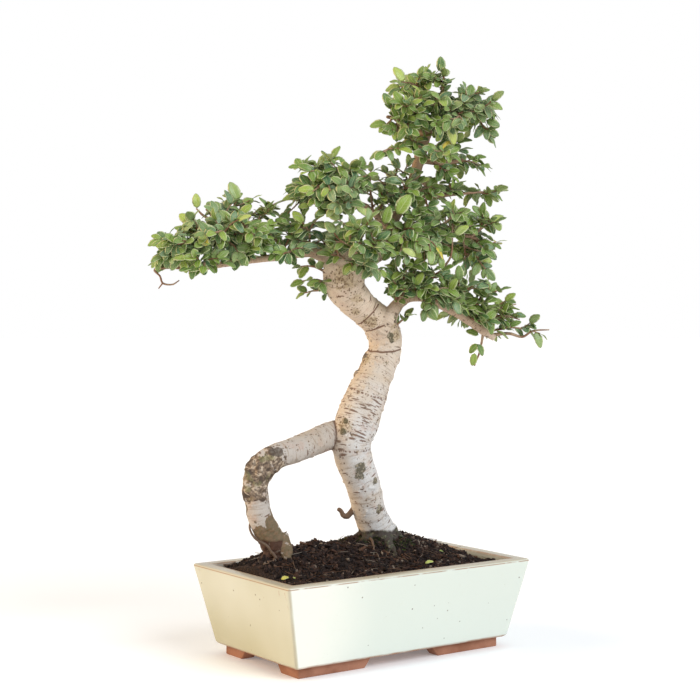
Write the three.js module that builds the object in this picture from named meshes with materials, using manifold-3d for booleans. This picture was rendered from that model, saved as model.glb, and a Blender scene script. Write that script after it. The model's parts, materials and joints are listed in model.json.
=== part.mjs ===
// Chinese elm bonsai in a rectangular glazed pot.
// Millimetres, +Z up. The origin is the middle of the bottom of the whole object's box, where the feet rest.
// The pot's long sides run along X. Its middle is the centre that every place below is measured from.
import * as THREE from "three";
import { mergeVertices } from "three/addons/utils/BufferGeometryUtils.js";
import Module from "manifold-3d";

const wasm = await Module();
wasm.setup();

// Driving dimensions of the pot
const POT = {
  rimLength: 220,
  rimWidth: 131,
  height: 67,
  baseLength: 192,
  baseWidth: 108,
  footHeight: 7.5,
  rimBand: 11,
  floorTop: 15,
  floorLength: 170,
  floorWidth: 88,
  cornerRadius: 3,
  edge: 1.6,
  baseBevel: 2.5,
};
const FOOT = {
  length: 181,
  width: 97,
  longArm: 63,
  shortArm: 28,
  endSlope: 6,
  thickness: 11,
  sunk: 1.5,
};
const DRAIN = { radius: 7, offset: 46, sides: 16 };
const SCREEN = { side: 27, thickness: 1, cells: 2, cell: 8, pitch: 11 };

// Driving dimensions of the soil
const SOIL = {
  edgeDrop: 4,
  crown: 18.5,
  crownX: -8,
  crownHalfLength: 100,
  crownY: 8,
  crownHalfWidth: 31,
  crumb: 1.1,
  rings: 5,
  outerRing: 0.985,
  innerRing: 0.055,
  ringSpacing: 1.1,
  wallTop: 2,
  slack: 0.9,
  seed: 77,
};

// What touches keeps this gap
const GAP = 0.3;
// Corners nearer than this are one
const WELD = 1e-4;

// Driving dimensions of the leaves and twigs
const LEAF = {
  length: 13.5,
  width: 7.6,
  thickness: 1.1,
  droop: 0.16,
  fold: 0.1,
  rootDepth: 0.35,
  belly: 0.45,
  spread: 52,
  spreadRange: 16,
  tilt: 0.7,
  scatter: 1.7,
  nod: 0.25,
  nodBias: 0.6,
  smallest: 0.86,
  sizeRange: 0.28,
  clearance: 0.25,
};
// One side of a leaf's outline, as shares of its length and width: its belly, a notch and a tooth
const LEAF_EDGE = [
  [0.33, 0.5],
  [0.47, 0.4],
  [0.66, 0.43],
];
const TWIG = { radius: 1.05, sides: 4, steps: 2, arch: 0.1, swings: [2.5, -2.5, 6, -6, 10, -10] };
// Where a twig leaves the wood: within this stretch of the stem, slanting back by a share of its length
const FORK = { from: 0.1, to: 0.98, samples: 40, slant: 0.5, most: 9, seat: 0.9 };
// Ways to turn a leaf clear of its neighbours: degrees in its own plane, and size
const LEAF_TURNS = [
  [0, 1],
  [22, 1],
  [-22, 1],
  [45, 1],
  [-45, 1],
  [0, 0.8],
  [30, 0.8],
  [-30, 0.8],
  [65, 0.8],
  [-65, 0.8],
];
const LEAVES_PER_TWIG = 7;
// Where along its twig a spray's leaves grow: the first one, the stretch of the pairs, and the one at the tip
const LEAF_ROW = { first: 0.34, stretch: 0.6, tip: 0.97 };
// Seeds of the sprays' random numbers, one for each spray
const SPRAY_SEED = { first: 1000, step: 37 };

// The tree is laid out in a front view: across to the right, away from the viewer, and up, in millimetres.
// That view is turned from the pot's long side by this angle.
const FRONT_TURN = THREE.MathUtils.degToRad(35.5);

const WOOD_COLOR = 0xc0ab96;
const LEAF_COLORS = [0x5f7a35, 0x6f8a41, 0x55702f, 0x7f9850];

// Wood: each path is a list of [across, away, up, radius]
const WOOD = {
  trunk: {
    sides: 11,
    step: 12,
    knobs: 0.05,
    path: [
      [17, 20, 62, 15.5],
      [14, 19, 80, 14.2],
      [6, 12, 100, 12.4],
      [0, 5, 124, 12.9],
      [-7, -1, 146, 13.5],
      [-8, -2, 158, 14.0],
      [-4, 1, 171, 15.6],
      [1, 6, 189, 14.9],
      [8, 13, 208, 13.2],
      [16, 20, 224, 12.6],
      [17, 20, 235, 12.9],
      [11, 14, 247, 12.6],
      [1, 4, 256, 11.8],
      [-8, -5, 265, 13.2],
      [-13, -9, 273, 14.9],
      [-14, -11, 282, 15.8],
      [-13, -12, 290, 15.2],
      [-10, -9, 296, 12.5],
    ],
  },
  leg: {
    sides: 10,
    step: 10,
    knobs: 0.1,
    path: [
      [-4, 8, 166, 9.0],
      [-21, 1, 162, 10.6],
      [-38, -15, 157, 9.9],
      [-53, -30, 152, 9.2],
      [-64, -39, 149, 9.4],
      [-73, -45, 143, 9.9],
      [-78, -47, 131, 9.7],
      [-77, -46, 120, 8.9],
      [-75, -45, 107, 8.9],
      [-68, -40, 92, 9.3],
      [-61, -34, 78, 10.0],
      [-56, -30, 62, 9.5],
    ],
  },
  arm: {
    sides: 7,
    step: 10,
    knobs: 0.06,
    path: [
      [-13, -8, 288, 9.0],
      [-20, -3, 292, 6.9],
      [-31, -4, 297, 5.3],
      [-40, -8, 299, 4.2],
      [-56, -14, 296, 3.1],
      [-76, -22, 293, 2.6],
      [-97, -30, 290, 2.4],
      [-119, -38, 286, 2.1],
      [-131, -42, 285, 1.8],
    ],
  },
  arm_tip: {
    path: [
      [-118, -38, 286, 1.8],
      [-124, -40, 296, 1.6],
      [-131, -42, 300, 1.5],
      [-141, -46, 298, 1.3],
    ],
  },
  arm_middle: {
    path: [
      [-80, -24, 292, 2.2],
      [-85, -24, 300, 1.9],
      [-87, -26, 306, 1.7],
      [-99, -30, 308, 1.5],
      [-114, -34, 306, 1.3],
      [-124, -36, 304, 1.2],
    ],
  },
  arm_upper: {
    path: [
      [-86, -25, 302, 1.7],
      [-89, -20, 315, 1.5],
      [-101, -16, 319, 1.3],
      [-110, -12, 322, 1.2],
    ],
  },
  leader: {
    sides: 7,
    step: 10,
    knobs: 0.06,
    path: [
      [-4, 2, 288, 8.0],
      [7, 6, 295, 6.3],
      [14, 8, 301, 5.2],
      [18, 10, 310, 4.8],
      [22, 13, 321, 4.6],
      [28, 16, 333, 4.6],
      [35, 18, 343, 4.5],
      [39, 20, 355, 4.3],
      [42, 21, 366, 4.4],
      [45, 22, 377, 4.7],
      [47, 22, 388, 5.1],
      [51, 21, 396, 4.8],
      [55, 20, 402, 3.6],
    ],
  },
  right: {
    sides: 7,
    step: 10,
    knobs: 0.06,
    path: [
      [9, 10, 243, 7.0],
      [16, 6, 252, 4.9],
      [22, 9, 261, 4.0],
      [29, 12, 265, 3.5],
      [38, 16, 266, 3.3],
      [49, 20, 264, 3.1],
      [60, 25, 259, 3.0],
      [72, 30, 253, 3.0],
      [84, 35, 246, 3.3],
      [94, 39, 239, 3.4],
      [103, 42, 234, 2.9],
    ],
  },
  middle_left: {
    path: [
      [21, 13, 318, 2.8],
      [10, 8, 327, 2.4],
      [0, 4, 335, 2.1],
      [-13, -2, 330, 1.9],
      [-19, -6, 338, 1.7],
      [-21, -10, 349, 1.4],
      [-30, -14, 354, 1.2],
    ],
  },
  middle_right: {
    path: [
      [35, 18, 343, 2.6],
      [55, 22, 343, 2.2],
      [77, 28, 345, 1.8],
      [95, 34, 347, 1.4],
    ],
  },
  low_right: {
    path: [
      [23, 13, 320, 2.4],
      [38, 16, 318, 2.1],
      [54, 20, 313, 1.9],
      [83, 28, 312, 1.6],
      [96, 34, 306, 1.3],
    ],
  },
  crown_left: {
    path: [
      [43, 22, 378, 2.2],
      [35, 16, 380, 1.9],
      [24, 8, 378, 1.6],
      [12, -1, 373, 1.3],
    ],
  },
  crown_front: {
    path: [
      [49, 21, 392, 2.4],
      [30, 12, 400, 1.9],
      [18, 2, 401, 1.4],
    ],
  },
  crown_top: {
    path: [
      [55, 20, 401, 2.6],
      [57, 22, 410, 2.1],
      [52, 26, 420, 1.7],
      [48, 30, 427, 1.3],
    ],
  },
  crown_right: {
    path: [
      [55, 20, 401, 2.6],
      [67, 16, 405, 2.0],
      [80, 14, 410, 1.6],
      [89, 11, 409, 1.3],
    ],
  },
  crown_low_right: {
    path: [
      [44, 21, 370, 2.4],
      [59, 22, 368, 2.0],
      [78, 30, 371, 1.5],
    ],
  },
  back_low: {
    path: [
      [21, 13, 321, 2.6],
      [20, 36, 322, 2.0],
      [17, 51, 321, 1.5],
    ],
  },
  back_high: {
    path: [
      [40, 20, 356, 2.4],
      [48, 40, 354, 1.9],
      [53, 56, 350, 1.4],
    ],
  },
  back_left: {
    path: [
      [-13, -6, 279, 4.0],
      [-19, 16, 291, 2.2],
      [-25, 32, 300, 1.5],
    ],
  },
  front: {
    path: [
      [-10, -14, 285, 4.0],
      [-5, -30, 295, 2.2],
      [-2, -42, 302, 1.5],
    ],
  },
  trunk_stub: {
    path: [
      [-5, 8, 107, 2.2],
      [-12, 6, 105, 1.7],
      [-13, 5, 100, 1.5],
      [-18, 5, 103, 1.2],
    ],
  },
  root_front_left: {
    sides: 5,
    path: [
      [9, 14, 92, 6.5],
      [0, 4, 80, 5.2],
      [-10, -6, 73, 4.0],
      [-16, -12, 66, 2.6],
    ],
  },
  root_front_right: {
    sides: 5,
    path: [
      [15, 14, 90, 6.5],
      [20, 2, 79, 5.2],
      [26, -9, 72, 3.8],
      [30, -15, 65, 2.6],
    ],
  },
  root_right: {
    sides: 5,
    path: [
      [18, 20, 90, 6.5],
      [30, 21, 80, 4.8],
      [41, 21, 73, 3.4],
      [48, 20, 65, 2.4],
    ],
  },
  root_back: {
    sides: 5,
    path: [
      [14, 24, 88, 6.5],
      [12, 35, 78, 4.8],
      [8, 45, 69, 3.2],
      [6, 50, 63, 2.4],
    ],
  },
  root_back_left: {
    sides: 5,
    path: [
      [8, 22, 88, 6.5],
      [-4, 26, 79, 4.6],
      [-15, 31, 71, 3.2],
      [-20, 33, 65, 2.4],
    ],
  },
  leg_root_left: {
    sides: 5,
    path: [
      [-63, -36, 88, 5.8],
      [-71, -42, 77, 4.2],
      [-77, -45, 68, 3.0],
    ],
  },
  leg_root_right: {
    sides: 5,
    path: [
      [-58, -37, 86, 5.8],
      [-49, -44, 76, 4.2],
      [-42, -50, 67, 2.8],
    ],
  },
};
const SIDE_WOOD = { sides: 5, step: 14, knobs: 0.04 };
// How far a stem's blunt end stands out, as a share of its radius
const BLUNT_END = 0.35;
// The side that the first corner of a stem's first ring looks to
const FIRST_SIDE = [0.3, 1, 0.2];
// Step between the seeds of the stems' random numbers
const STEM_SEED = 131;

// Sprays: each tip is [across, away, up], and its twig grows from the nearest of the named wood
const SPRAYS = {
  left: {
    from: ["arm", "arm_tip", "arm_middle", "arm_upper"],
    tips: [
      [-145, -56, 294],
      [-143, -46, 308],
      [-135, -30, 291],
      [-126, -36, 319],
      [-129, -62, 305],
      [-114, -58, 287],
      [-106, -60, 311],
      [-107, -22, 329],
      [-94, -8, 338],
      [-89, -46, 320],
      [-80, 2, 330],
      [-67, -18, 331],
      [-59, -36, 296],
      [-73, -53, 309],
      [-45, -28, 320],
      [-30, -14, 307],
    ],
  },
  middle: {
    from: ["middle_left", "leader"],
    tips: [
      [-48, -16, 362],
      [-37, -34, 342],
      [-29, -2, 366],
      [-13, -24, 360],
      [-8, -38, 341],
      [-23, 18, 353],
    ],
  },
  front: {
    from: ["front", "leader"],
    tips: [
      [-20, -44, 305],
      [-4, -52, 314],
      [13, -46, 306],
      [6, -34, 285],
    ],
  },
  back: {
    from: ["back_left", "back_low", "back_high"],
    tips: [
      [-20, 44, 302],
      [18, 60, 323],
      [54, 66, 331],
    ],
  },
  crown: {
    from: ["leader", "crown_left", "crown_front", "crown_top", "crown_right", "crown_low_right"],
    tips: [
      [29, 14, 429],
      [46, 30, 434],
      [62, 14, 434],
      [79, 26, 421],
      [90, 8, 408],
      [98, 26, 389],
      [92, 36, 368],
      [74, -10, 397],
      [61, 52, 412],
      [36, -12, 409],
      [17, -6, 394],
      [15, -12, 373],
      [61, -16, 373],
    ],
  },
  middle_right: {
    from: ["middle_right", "low_right"],
    tips: [
      [97, 40, 345],
      [102, 20, 323],
      [95, 44, 306],
      [74, -4, 329],
    ],
  },
  right: {
    from: ["right", "low_right"],
    tips: [
      [31, -8, 272],
      [52, 4, 259],
      [60, 0, 286],
      [80, 14, 274],
      [80, 46, 252],
      [106, 28, 271],
      [140, 54, 237],
      [93, 56, 293],
    ],
  },
  low: {
    from: ["trunk"],
    tips: [[-45, -16, 277]],
  },
};

// A point of the front view in the pot's own X, Y and Z
function place(across, away, up) {
  const x = across * Math.cos(FRONT_TURN) + away * Math.sin(FRONT_TURN);
  const y = away * Math.cos(FRONT_TURN) - across * Math.sin(FRONT_TURN);
  return new THREE.Vector3(x, y, up);
}

// A repeatable source of random numbers from 0 to 1
function seeded(seed) {
  let state = seed >>> 0;
  return () => {
    state = (Math.imul(state, 1664525) + 1013904223) >>> 0;
    return state / 4294967296;
  };
}

// A closed mesh from points and triangles, as a solid with its faces outwards
function solidFrom(points, triangles) {
  const vertProperties = new Float32Array(points.flatMap((p) => [p.x, p.y, p.z]));
  const triVerts = new Uint32Array(triangles.flat());
  const made = new wasm.Manifold(new wasm.Mesh({ numProp: 3, vertProperties, triVerts }));
  if (made.volume() > 0) return made;
  return solidFrom(
    points,
    triangles.map(([a, b, c]) => [a, c, b]),
  );
}

// A three.js geometry as a solid
function solidOf(geometry) {
  geometry.deleteAttribute("normal");
  geometry.deleteAttribute("uv");
  const merged = mergeVertices(geometry, WELD);
  const vertProperties = merged.attributes.position.array;
  const triVerts = new Uint32Array(merged.index.array);
  return new wasm.Manifold(new wasm.Mesh({ numProp: 3, vertProperties, triVerts }));
}

// A solid as a three.js geometry
function geometryOf(solid) {
  const mesh = solid.getMesh();
  const geometry = new THREE.BufferGeometry();
  geometry.setAttribute("position", new THREE.BufferAttribute(mesh.vertProperties, 3));
  geometry.setIndex(new THREE.BufferAttribute(mesh.triVerts, 1));
  geometry.computeVertexNormals();
  return geometry;
}

// The largest body of a solid, so that a cut leaves no scraps
function largest(solid) {
  return solid.decompose().reduce((best, body) => (body.volume() > best.volume() ? body : best));
}

// Stacked level rings with the same number of points, closed at both ends
function loft(rings) {
  const count = rings[0].length;
  const outline = rings[0].map((p) => new THREE.Vector2(p.x, p.y));
  if (THREE.ShapeUtils.area(outline) < 0) return loft(rings.map((ring) => [...ring].reverse()));
  const points = rings.flat();
  const triangles = [];
  for (let ring = 0; ring + 1 < rings.length; ring++) {
    for (let i = 0; i < count; i++) {
      const a = ring * count + i;
      const b = ring * count + ((i + 1) % count);
      triangles.push([a, b, b + count], [a, b + count, a + count]);
    }
  }
  const last = (rings.length - 1) * count;
  for (const [a, b, c] of THREE.ShapeUtils.triangulateShape(outline, [])) {
    triangles.push([a, c, b], [last + a, last + b, last + c]);
  }
  return solidFrom(points, triangles);
}

// One level of a rectangle with rounded corners
function rectangleRing(length, width, z, radius, cornerSteps = 2, sideSteps = 1) {
  const ring = [];
  const corners = [
    [1, 1, 0],
    [-1, 1, 90],
    [-1, -1, 180],
    [1, -1, 270],
  ];
  corners.forEach(([sx, sy, start], corner) => {
    const cx = sx * (length / 2 - radius);
    const cy = sy * (width / 2 - radius);
    for (let i = 0; i <= cornerSteps; i++) {
      const angle = THREE.MathUtils.degToRad(start + (90 * i) / cornerSteps);
      ring.push(new THREE.Vector3(cx + radius * Math.cos(angle), cy + radius * Math.sin(angle), z));
    }
    const [nx, ny, nextStart] = corners[(corner + 1) % corners.length];
    const turn = THREE.MathUtils.degToRad(nextStart);
    const next = new THREE.Vector3(
      nx * (length / 2 - radius) + radius * Math.cos(turn),
      ny * (width / 2 - radius) + radius * Math.sin(turn),
      z,
    );
    const from = ring[ring.length - 1].clone();
    for (let i = 1; i < sideSteps; i++) {
      ring.push(from.clone().lerp(next, i / sideSteps));
    }
  });
  return ring;
}

// The pot's outside at a height: the walls taper straight from the rim to the base
function potSize(z) {
  const t = (z - POT.footHeight) / (POT.height - POT.footHeight);
  return [
    POT.baseLength + (POT.rimLength - POT.baseLength) * t,
    POT.baseWidth + (POT.rimWidth - POT.baseWidth) * t,
  ];
}

// The pot's inside at a height, from the floor to the inner edge of the rim
function insideSize(z) {
  const t = (z - POT.floorTop) / (POT.height - POT.floorTop);
  const topLength = POT.rimLength - 2 * POT.rimBand;
  const topWidth = POT.rimWidth - 2 * POT.rimBand;
  return [
    POT.floorLength + (topLength - POT.floorLength) * t,
    POT.floorWidth + (topWidth - POT.floorWidth) * t,
  ];
}

// Two corner arms in one L, with the free ends sloping in towards the floor
function foot(sx, sy) {
  const level = (z, slope) => {
    const x = FOOT.length / 2;
    const y = FOOT.width / 2;
    const t = FOOT.thickness;
    const longEnd = x - FOOT.longArm + slope;
    const shortEnd = y - FOOT.shortArm + slope;
    const outline = [
      [x, y],
      [longEnd, y],
      [longEnd, y - t],
      [x - t, y - t],
      [x - t, shortEnd],
      [x, shortEnd],
    ];
    return outline.map(([px, py]) => new THREE.Vector3(sx * px, sy * py, z));
  };
  const top = POT.footHeight + FOOT.sunk;
  return loft([level(0, FOOT.endSlope), level(POT.footHeight, 0), level(top, 0)]);
}

function potSolid() {
  const [outerLength, outerWidth] = potSize(POT.height - POT.edge);
  const r = POT.cornerRadius;
  const [inLength, inWidth] = insideSize(POT.height);
  const bevel = POT.baseBevel;
  let pot = loft([
    rectangleRing(POT.baseLength - 2 * bevel, POT.baseWidth - 2 * bevel, POT.footHeight, r),
    rectangleRing(POT.baseLength, POT.baseWidth, POT.footHeight + bevel, r),
    rectangleRing(outerLength, outerWidth, POT.height - POT.edge, r),
    rectangleRing(outerLength - POT.edge, outerWidth - POT.edge, POT.height, r),
    rectangleRing(inLength, inWidth, POT.height, r),
    rectangleRing(POT.floorLength, POT.floorWidth, POT.floorTop, r),
  ]);
  for (const sx of [-1, 1]) {
    for (const sy of [-1, 1]) {
      pot = pot.add(foot(sx, sy));
    }
  }
  for (const side of [-1, 1]) {
    const hole = new THREE.CylinderGeometry(DRAIN.radius, DRAIN.radius, POT.floorTop * 2, DRAIN.sides);
    hole.rotateX(Math.PI / 2).translate(side * DRAIN.offset, 0, POT.floorTop);
    pot = pot.subtract(solidOf(hole));
  }
  return pot;
}

// A square of plastic mesh over a drainage hole
function screenSolid(side, grow = 0) {
  const x = side * DRAIN.offset;
  const z = POT.floorTop + GAP + SCREEN.thickness / 2;
  const whole = SCREEN.side + 2 * grow;
  const plate = new THREE.BoxGeometry(whole, whole, SCREEN.thickness + 2 * grow).translate(x, 0, z);
  let screen = solidOf(plate);
  if (grow > 0) return screen;
  const middle = (SCREEN.cells - 1) / 2;
  for (let i = 0; i < SCREEN.cells; i++) {
    for (let j = 0; j < SCREEN.cells; j++) {
      const cell = new THREE.BoxGeometry(SCREEN.cell, SCREEN.cell, 3 * SCREEN.thickness);
      cell.translate(x + (i - middle) * SCREEN.pitch, (j - middle) * SCREEN.pitch, z);
      screen = screen.subtract(solidOf(cell));
    }
  }
  return screen;
}

// Height of the soil: a long low mound between the two stems, with crumbs
function soilHeight(x, y, crumb) {
  const along = (x - SOIL.crownX) / SOIL.crownHalfLength;
  const acrossRidge = (y - SOIL.crownY) / SOIL.crownHalfWidth;
  const ridge = SOIL.crown * Math.max(0, 1 - along ** 4) * Math.exp(-(acrossRidge ** 2));
  return POT.height - SOIL.edgeDrop + ridge + SOIL.crumb * crumb;
}

function soilSolid() {
  const random = seeded(SOIL.seed);
  const edgeZ = POT.height - SOIL.edgeDrop;
  const ring = (scale, z) => {
    const [length, width] = insideSize(z).map((size) => (size - SOIL.slack) * scale);
    return rectangleRing(length, width, z, POT.cornerRadius * scale, 1, 4);
  };
  const rings = [ring(1, POT.floorTop + GAP), ring(1, edgeZ - SOIL.wallTop)];
  for (let i = 0; i < SOIL.rings; i++) {
    const inwards = (i / (SOIL.rings - 1)) ** SOIL.ringSpacing;
    const level = ring(THREE.MathUtils.lerp(SOIL.outerRing, SOIL.innerRing, inwards), edgeZ);
    level.forEach((p) => {
      p.z = soilHeight(p.x, p.y, 2 * random() - 1);
    });
    rings.push(level);
  }
  return loft(rings);
}

// A path's curve, and its radius at the same parameter
function curveOf(path) {
  const curve = new THREE.CatmullRomCurve3(
    path.map(([across, away, up]) => place(across, away, up)),
    false,
    "centripetal",
  );
  const radiusAt = (t) => {
    const at = t * (path.length - 1);
    const i = Math.min(Math.floor(at), path.length - 2);
    const blend = THREE.MathUtils.smoothstep(at - i, 0, 1);
    return path[i][3] + (path[i + 1][3] - path[i][3]) * blend;
  };
  return { curve, radiusAt };
}

// A round stem swept along a curve, with a blunt tip and a slightly knobbly bark
function stem({ path, sides, step, knobs }, grow = 0) {
  const { curve, radiusAt } = curveOf(path);
  const random = seeded(path.length * STEM_SEED + Math.round(path[0][2]));
  const count = Math.max(path.length - 1, Math.round(curve.getLength() / step));
  const points = [];
  let side = new THREE.Vector3(...FIRST_SIDE);
  const stations = [];
  for (let i = 0; i <= count; i++) {
    const t = i / count;
    const centre = curve.getPoint(t);
    const tangent = curve.getTangent(t);
    side = side.clone().addScaledVector(tangent, -side.dot(tangent)).normalize();
    stations.push({ centre, side, tangent, radius: radiusAt(t) });
  }
  for (const { centre, side: u, tangent: w, radius } of stations) {
    const v = new THREE.Vector3().crossVectors(w, u);
    for (let k = 0; k < sides; k++) {
      const angle = (2 * Math.PI * k) / sides;
      const r = radius * (1 + knobs * (2 * random() - 1)) + grow;
      points.push(
        centre
          .clone()
          .addScaledVector(u, r * Math.cos(angle))
          .addScaledVector(v, r * Math.sin(angle)),
      );
    }
  }
  const first = stations[0];
  const last = stations[count];
  const below = first.centre.clone().addScaledVector(first.tangent, -BLUNT_END * first.radius - grow);
  const above = last.centre.clone().addScaledVector(last.tangent, BLUNT_END * last.radius + grow);
  const startPole = points.push(below) - 1;
  const endPole = points.push(above) - 1;
  const triangles = [];
  for (let k = 0; k < sides; k++) {
    const next = (k + 1) % sides;
    triangles.push([startPole, next, k]);
    triangles.push([endPole, count * sides + k, count * sides + next]);
    for (let i = 0; i < count; i++) {
      const a = i * sides;
      triangles.push([a + k, a + next, a + sides + next], [a + k, a + sides + next, a + sides + k]);
    }
  }
  return solidFrom(points, triangles);
}

// The whole wood as one body
function woodSolid(grow = 0) {
  const stems = Object.values(WOOD).map((part) => stem({ ...SIDE_WOOD, ...part }, grow));
  return largest(stems.reduce((joined, next) => joined.add(next)));
}

// A leaf from its root to its tip: a thin lens with a midrib, arched and folded, and toothed on both sides.
// Both faces are split into triangles alike.
function leafSolid({ root, forward, face, size, fatter = 0 }) {
  const side = new THREE.Vector3().crossVectors(face, forward).normalize();
  const up = new THREE.Vector3().crossVectors(forward, side).normalize();
  const length = LEAF.length * size + fatter;
  const width = LEAF.width * size + 2 * fatter;
  const half = LEAF.thickness / 2 + fatter;
  const at = (along, across, lift) => {
    const drop = LEAF.droop * along ** 2 * length + LEAF.fold * Math.abs(across) * width;
    return root
      .clone()
      .addScaledVector(forward, along * length)
      .addScaledVector(side, across * width)
      .addScaledVector(up, lift - drop);
  };
  const outline = [
    at(-LEAF.rootDepth / LEAF.length, 0, 0),
    ...LEAF_EDGE.map(([along, across]) => at(along, across, 0)),
    at(1, 0, 0),
    ...[...LEAF_EDGE].reverse().map(([along, across]) => at(along, -across, 0)),
  ];
  const top = outline.length;
  const bottom = top + 1;
  const points = [...outline, at(LEAF.belly, 0, half), at(LEAF.belly, 0, -half)];
  const triangles = outline.flatMap((_, i) => {
    const next = (i + 1) % outline.length;
    return [
      [i, next, top],
      [next, i, bottom],
    ];
  });
  return solidFrom(points, triangles);
}

// The nearest place on the named wood to a point, taken a little nearer to where that wood starts
function nearestWood(names, point) {
  let best = null;
  for (const name of names) {
    const { curve, radiusAt } = curveOf(WOOD[name].path);
    for (let i = 0; i <= FORK.samples; i++) {
      const t = FORK.from + (FORK.to - FORK.from) * (i / FORK.samples);
      const distance = curve.getPoint(t).distanceTo(point);
      if (best === null || distance < best.distance) best = { distance, curve, radiusAt, t };
    }
  }
  const back = Math.min(FORK.slant * best.distance, FORK.most) / best.curve.getLength();
  const t = Math.max(FORK.from, best.t - back);
  return { centre: best.curve.getPoint(t), radius: best.radiusAt(t) };
}

const boxesMeet = (a, b) => [0, 1, 2].every((k) => a.min[k] < b.max[k] && b.min[k] < a.max[k]);

// Whether a solid meets any of the others
function meetsAny(solid, others) {
  const box = solid.boundingBox();
  return others.some((other) => boxesMeet(box, other.box) && !solid.intersect(other.solid).isEmpty());
}

// The twig of a spray: where it leaves the wood, its gentle arch, and the way that its leaves face
function twigOf(tip, from, swing) {
  const end = place(...tip);
  const { centre, radius } = nearestWood(from, end);
  const outwards = new THREE.Vector3().subVectors(end, centre).normalize();
  const start = centre.addScaledVector(outwards, FORK.seat * radius + GAP);
  const span = new THREE.Vector3().subVectors(end, start);
  const middle = start.clone().addScaledVector(span, 0.5);
  middle.z += TWIG.arch * span.length();
  middle.addScaledVector(new THREE.Vector3(-span.y, span.x, 0).normalize(), swing);
  const curve = new THREE.CatmullRomCurve3([start, middle, end], false, "centripetal");
  return { curve, outwards };
}

function twigSolid(curve, grow = 0) {
  const section = new THREE.Shape();
  for (let k = 0; k < TWIG.sides; k++) {
    const angle = (2 * Math.PI * k) / TWIG.sides;
    const r = TWIG.radius + grow;
    if (k === 0) section.moveTo(r, 0);
    else section.lineTo(r * Math.cos(angle), r * Math.sin(angle));
  }
  return solidOf(
    new THREE.ExtrudeGeometry(section, { steps: TWIG.steps, extrudePath: curve, bevelEnabled: false }),
  );
}

// Leaves along a twig, in two ranks, with one at its tip
function leavesOf({ curve, outwards }, random) {
  const leaves = [];
  for (let i = 0; i < LEAVES_PER_TWIG; i++) {
    const last = i === LEAVES_PER_TWIG - 1;
    const share = i / (LEAVES_PER_TWIG - 2);
    const t = last ? LEAF_ROW.tip : LEAF_ROW.first + LEAF_ROW.stretch * share;
    const along = curve.getTangent(t);
    const face = new THREE.Vector3(0, 0, 1).addScaledVector(outwards, LEAF.tilt);
    face.x += LEAF.scatter * (random() - 0.5);
    face.y += LEAF.scatter * (random() - 0.5);
    face.normalize();
    const side = new THREE.Vector3().crossVectors(face, along).normalize();
    const rank = last ? 0 : i % 2 === 0 ? 1 : -1;
    const spread = LEAF.spread + LEAF.spreadRange * (random() - 0.5);
    const angle = THREE.MathUtils.degToRad(spread) * rank;
    const lean = new THREE.Vector3(0, 0, LEAF.nod * (random() - LEAF.nodBias));
    const size = LEAF.smallest + LEAF.sizeRange * random();
    leaves.push({ root: curve.getPoint(t), along, side, face, angle, lean, size });
  }
  return leaves;
}

// A leaf turned in its own plane by some degrees, and at a share of its size
function turned(leaf, [degrees, share]) {
  const angle = leaf.angle + THREE.MathUtils.degToRad(degrees);
  const forward = leaf.along
    .clone()
    .multiplyScalar(Math.cos(angle))
    .addScaledVector(leaf.side, Math.sin(angle))
    .add(leaf.lean)
    .normalize();
  return { root: leaf.root, forward, face: leaf.face, size: leaf.size * share };
}

// A twig's own body, cut clear of the wood where its foot would reach into it
function seatedTwig(curve, wood) {
  const twig = twigSolid(curve);
  return meetsAny(twig, [wood]) ? largest(twig.subtract(wood.solid)) : twig;
}

// Every spray as one body: the twigs are placed first, and a leaf that would cross another spray is turned
// clear of it, or left out
function spraySolids(woodKeptOut) {
  const placed = [];
  const sprays = [];
  const wood = { solid: woodKeptOut, box: woodKeptOut.boundingBox() };
  for (const [pad, { from, tips }] of Object.entries(SPRAYS)) {
    tips.forEach((tip, index) => {
      const random = seeded(SPRAY_SEED.first + SPRAY_SEED.step * sprays.length);
      const twig = TWIG.swings
        .map((swing) => twigOf(tip, from, swing))
        .find(({ curve }) => !meetsAny(twigSolid(curve, LEAF.clearance), placed));
      if (twig === undefined) return;
      const solid = seatedTwig(twig.curve, wood);
      const name = `spray_${pad}_${String(index + 1).padStart(2, "0")}`;
      sprays.push({ name, twig, solid, random });
      placed.push({ name, solid, box: solid.boundingBox() });
    });
  }
  for (const spray of sprays) {
    const others = [wood, ...placed.filter((item) => item.name !== spray.name)];
    for (const leaf of leavesOf(spray.twig, spray.random)) {
      const turn = LEAF_TURNS.find((candidate) => {
        const fat = leafSolid({ ...turned(leaf, candidate), fatter: LEAF.clearance });
        return !meetsAny(fat, others);
      });
      if (turn === undefined) continue;
      const solid = leafSolid(turned(leaf, turn));
      spray.solid = spray.solid.add(solid);
      const item = { name: spray.name, solid, box: solid.boundingBox() };
      placed.push(item);
      others.push(item);
    }
    spray.solid = largest(spray.solid);
  }
  return sprays;
}

const tree = new THREE.Group();

function addPiece(name, solid, color, roughness) {
  const material = new THREE.MeshStandardMaterial({ color, roughness, metalness: 0 });
  const mesh = new THREE.Mesh(geometryOf(solid), material);
  mesh.name = name;
  tree.add(mesh);
}

const wood = woodSolid();
const woodKeptOut = woodSolid(GAP);

addPiece("pot", potSolid(), 0xe4ece2, 0.25);

let soil = soilSolid().subtract(woodKeptOut);
for (const side of [-1, 1]) {
  const name = side < 0 ? "drain_screen_left" : "drain_screen_right";
  addPiece(name, screenSolid(side), 0x3a3a38, 0.6);
  soil = soil.subtract(screenSolid(side, GAP));
}
addPiece("soil", largest(soil), 0x33261f, 0.95);

addPiece("trunk", wood, WOOD_COLOR, 0.85);

spraySolids(woodKeptOut).forEach(({ name, solid }, index) => {
  addPiece(name, solid, LEAF_COLORS[index % LEAF_COLORS.length], 0.5);
});

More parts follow.
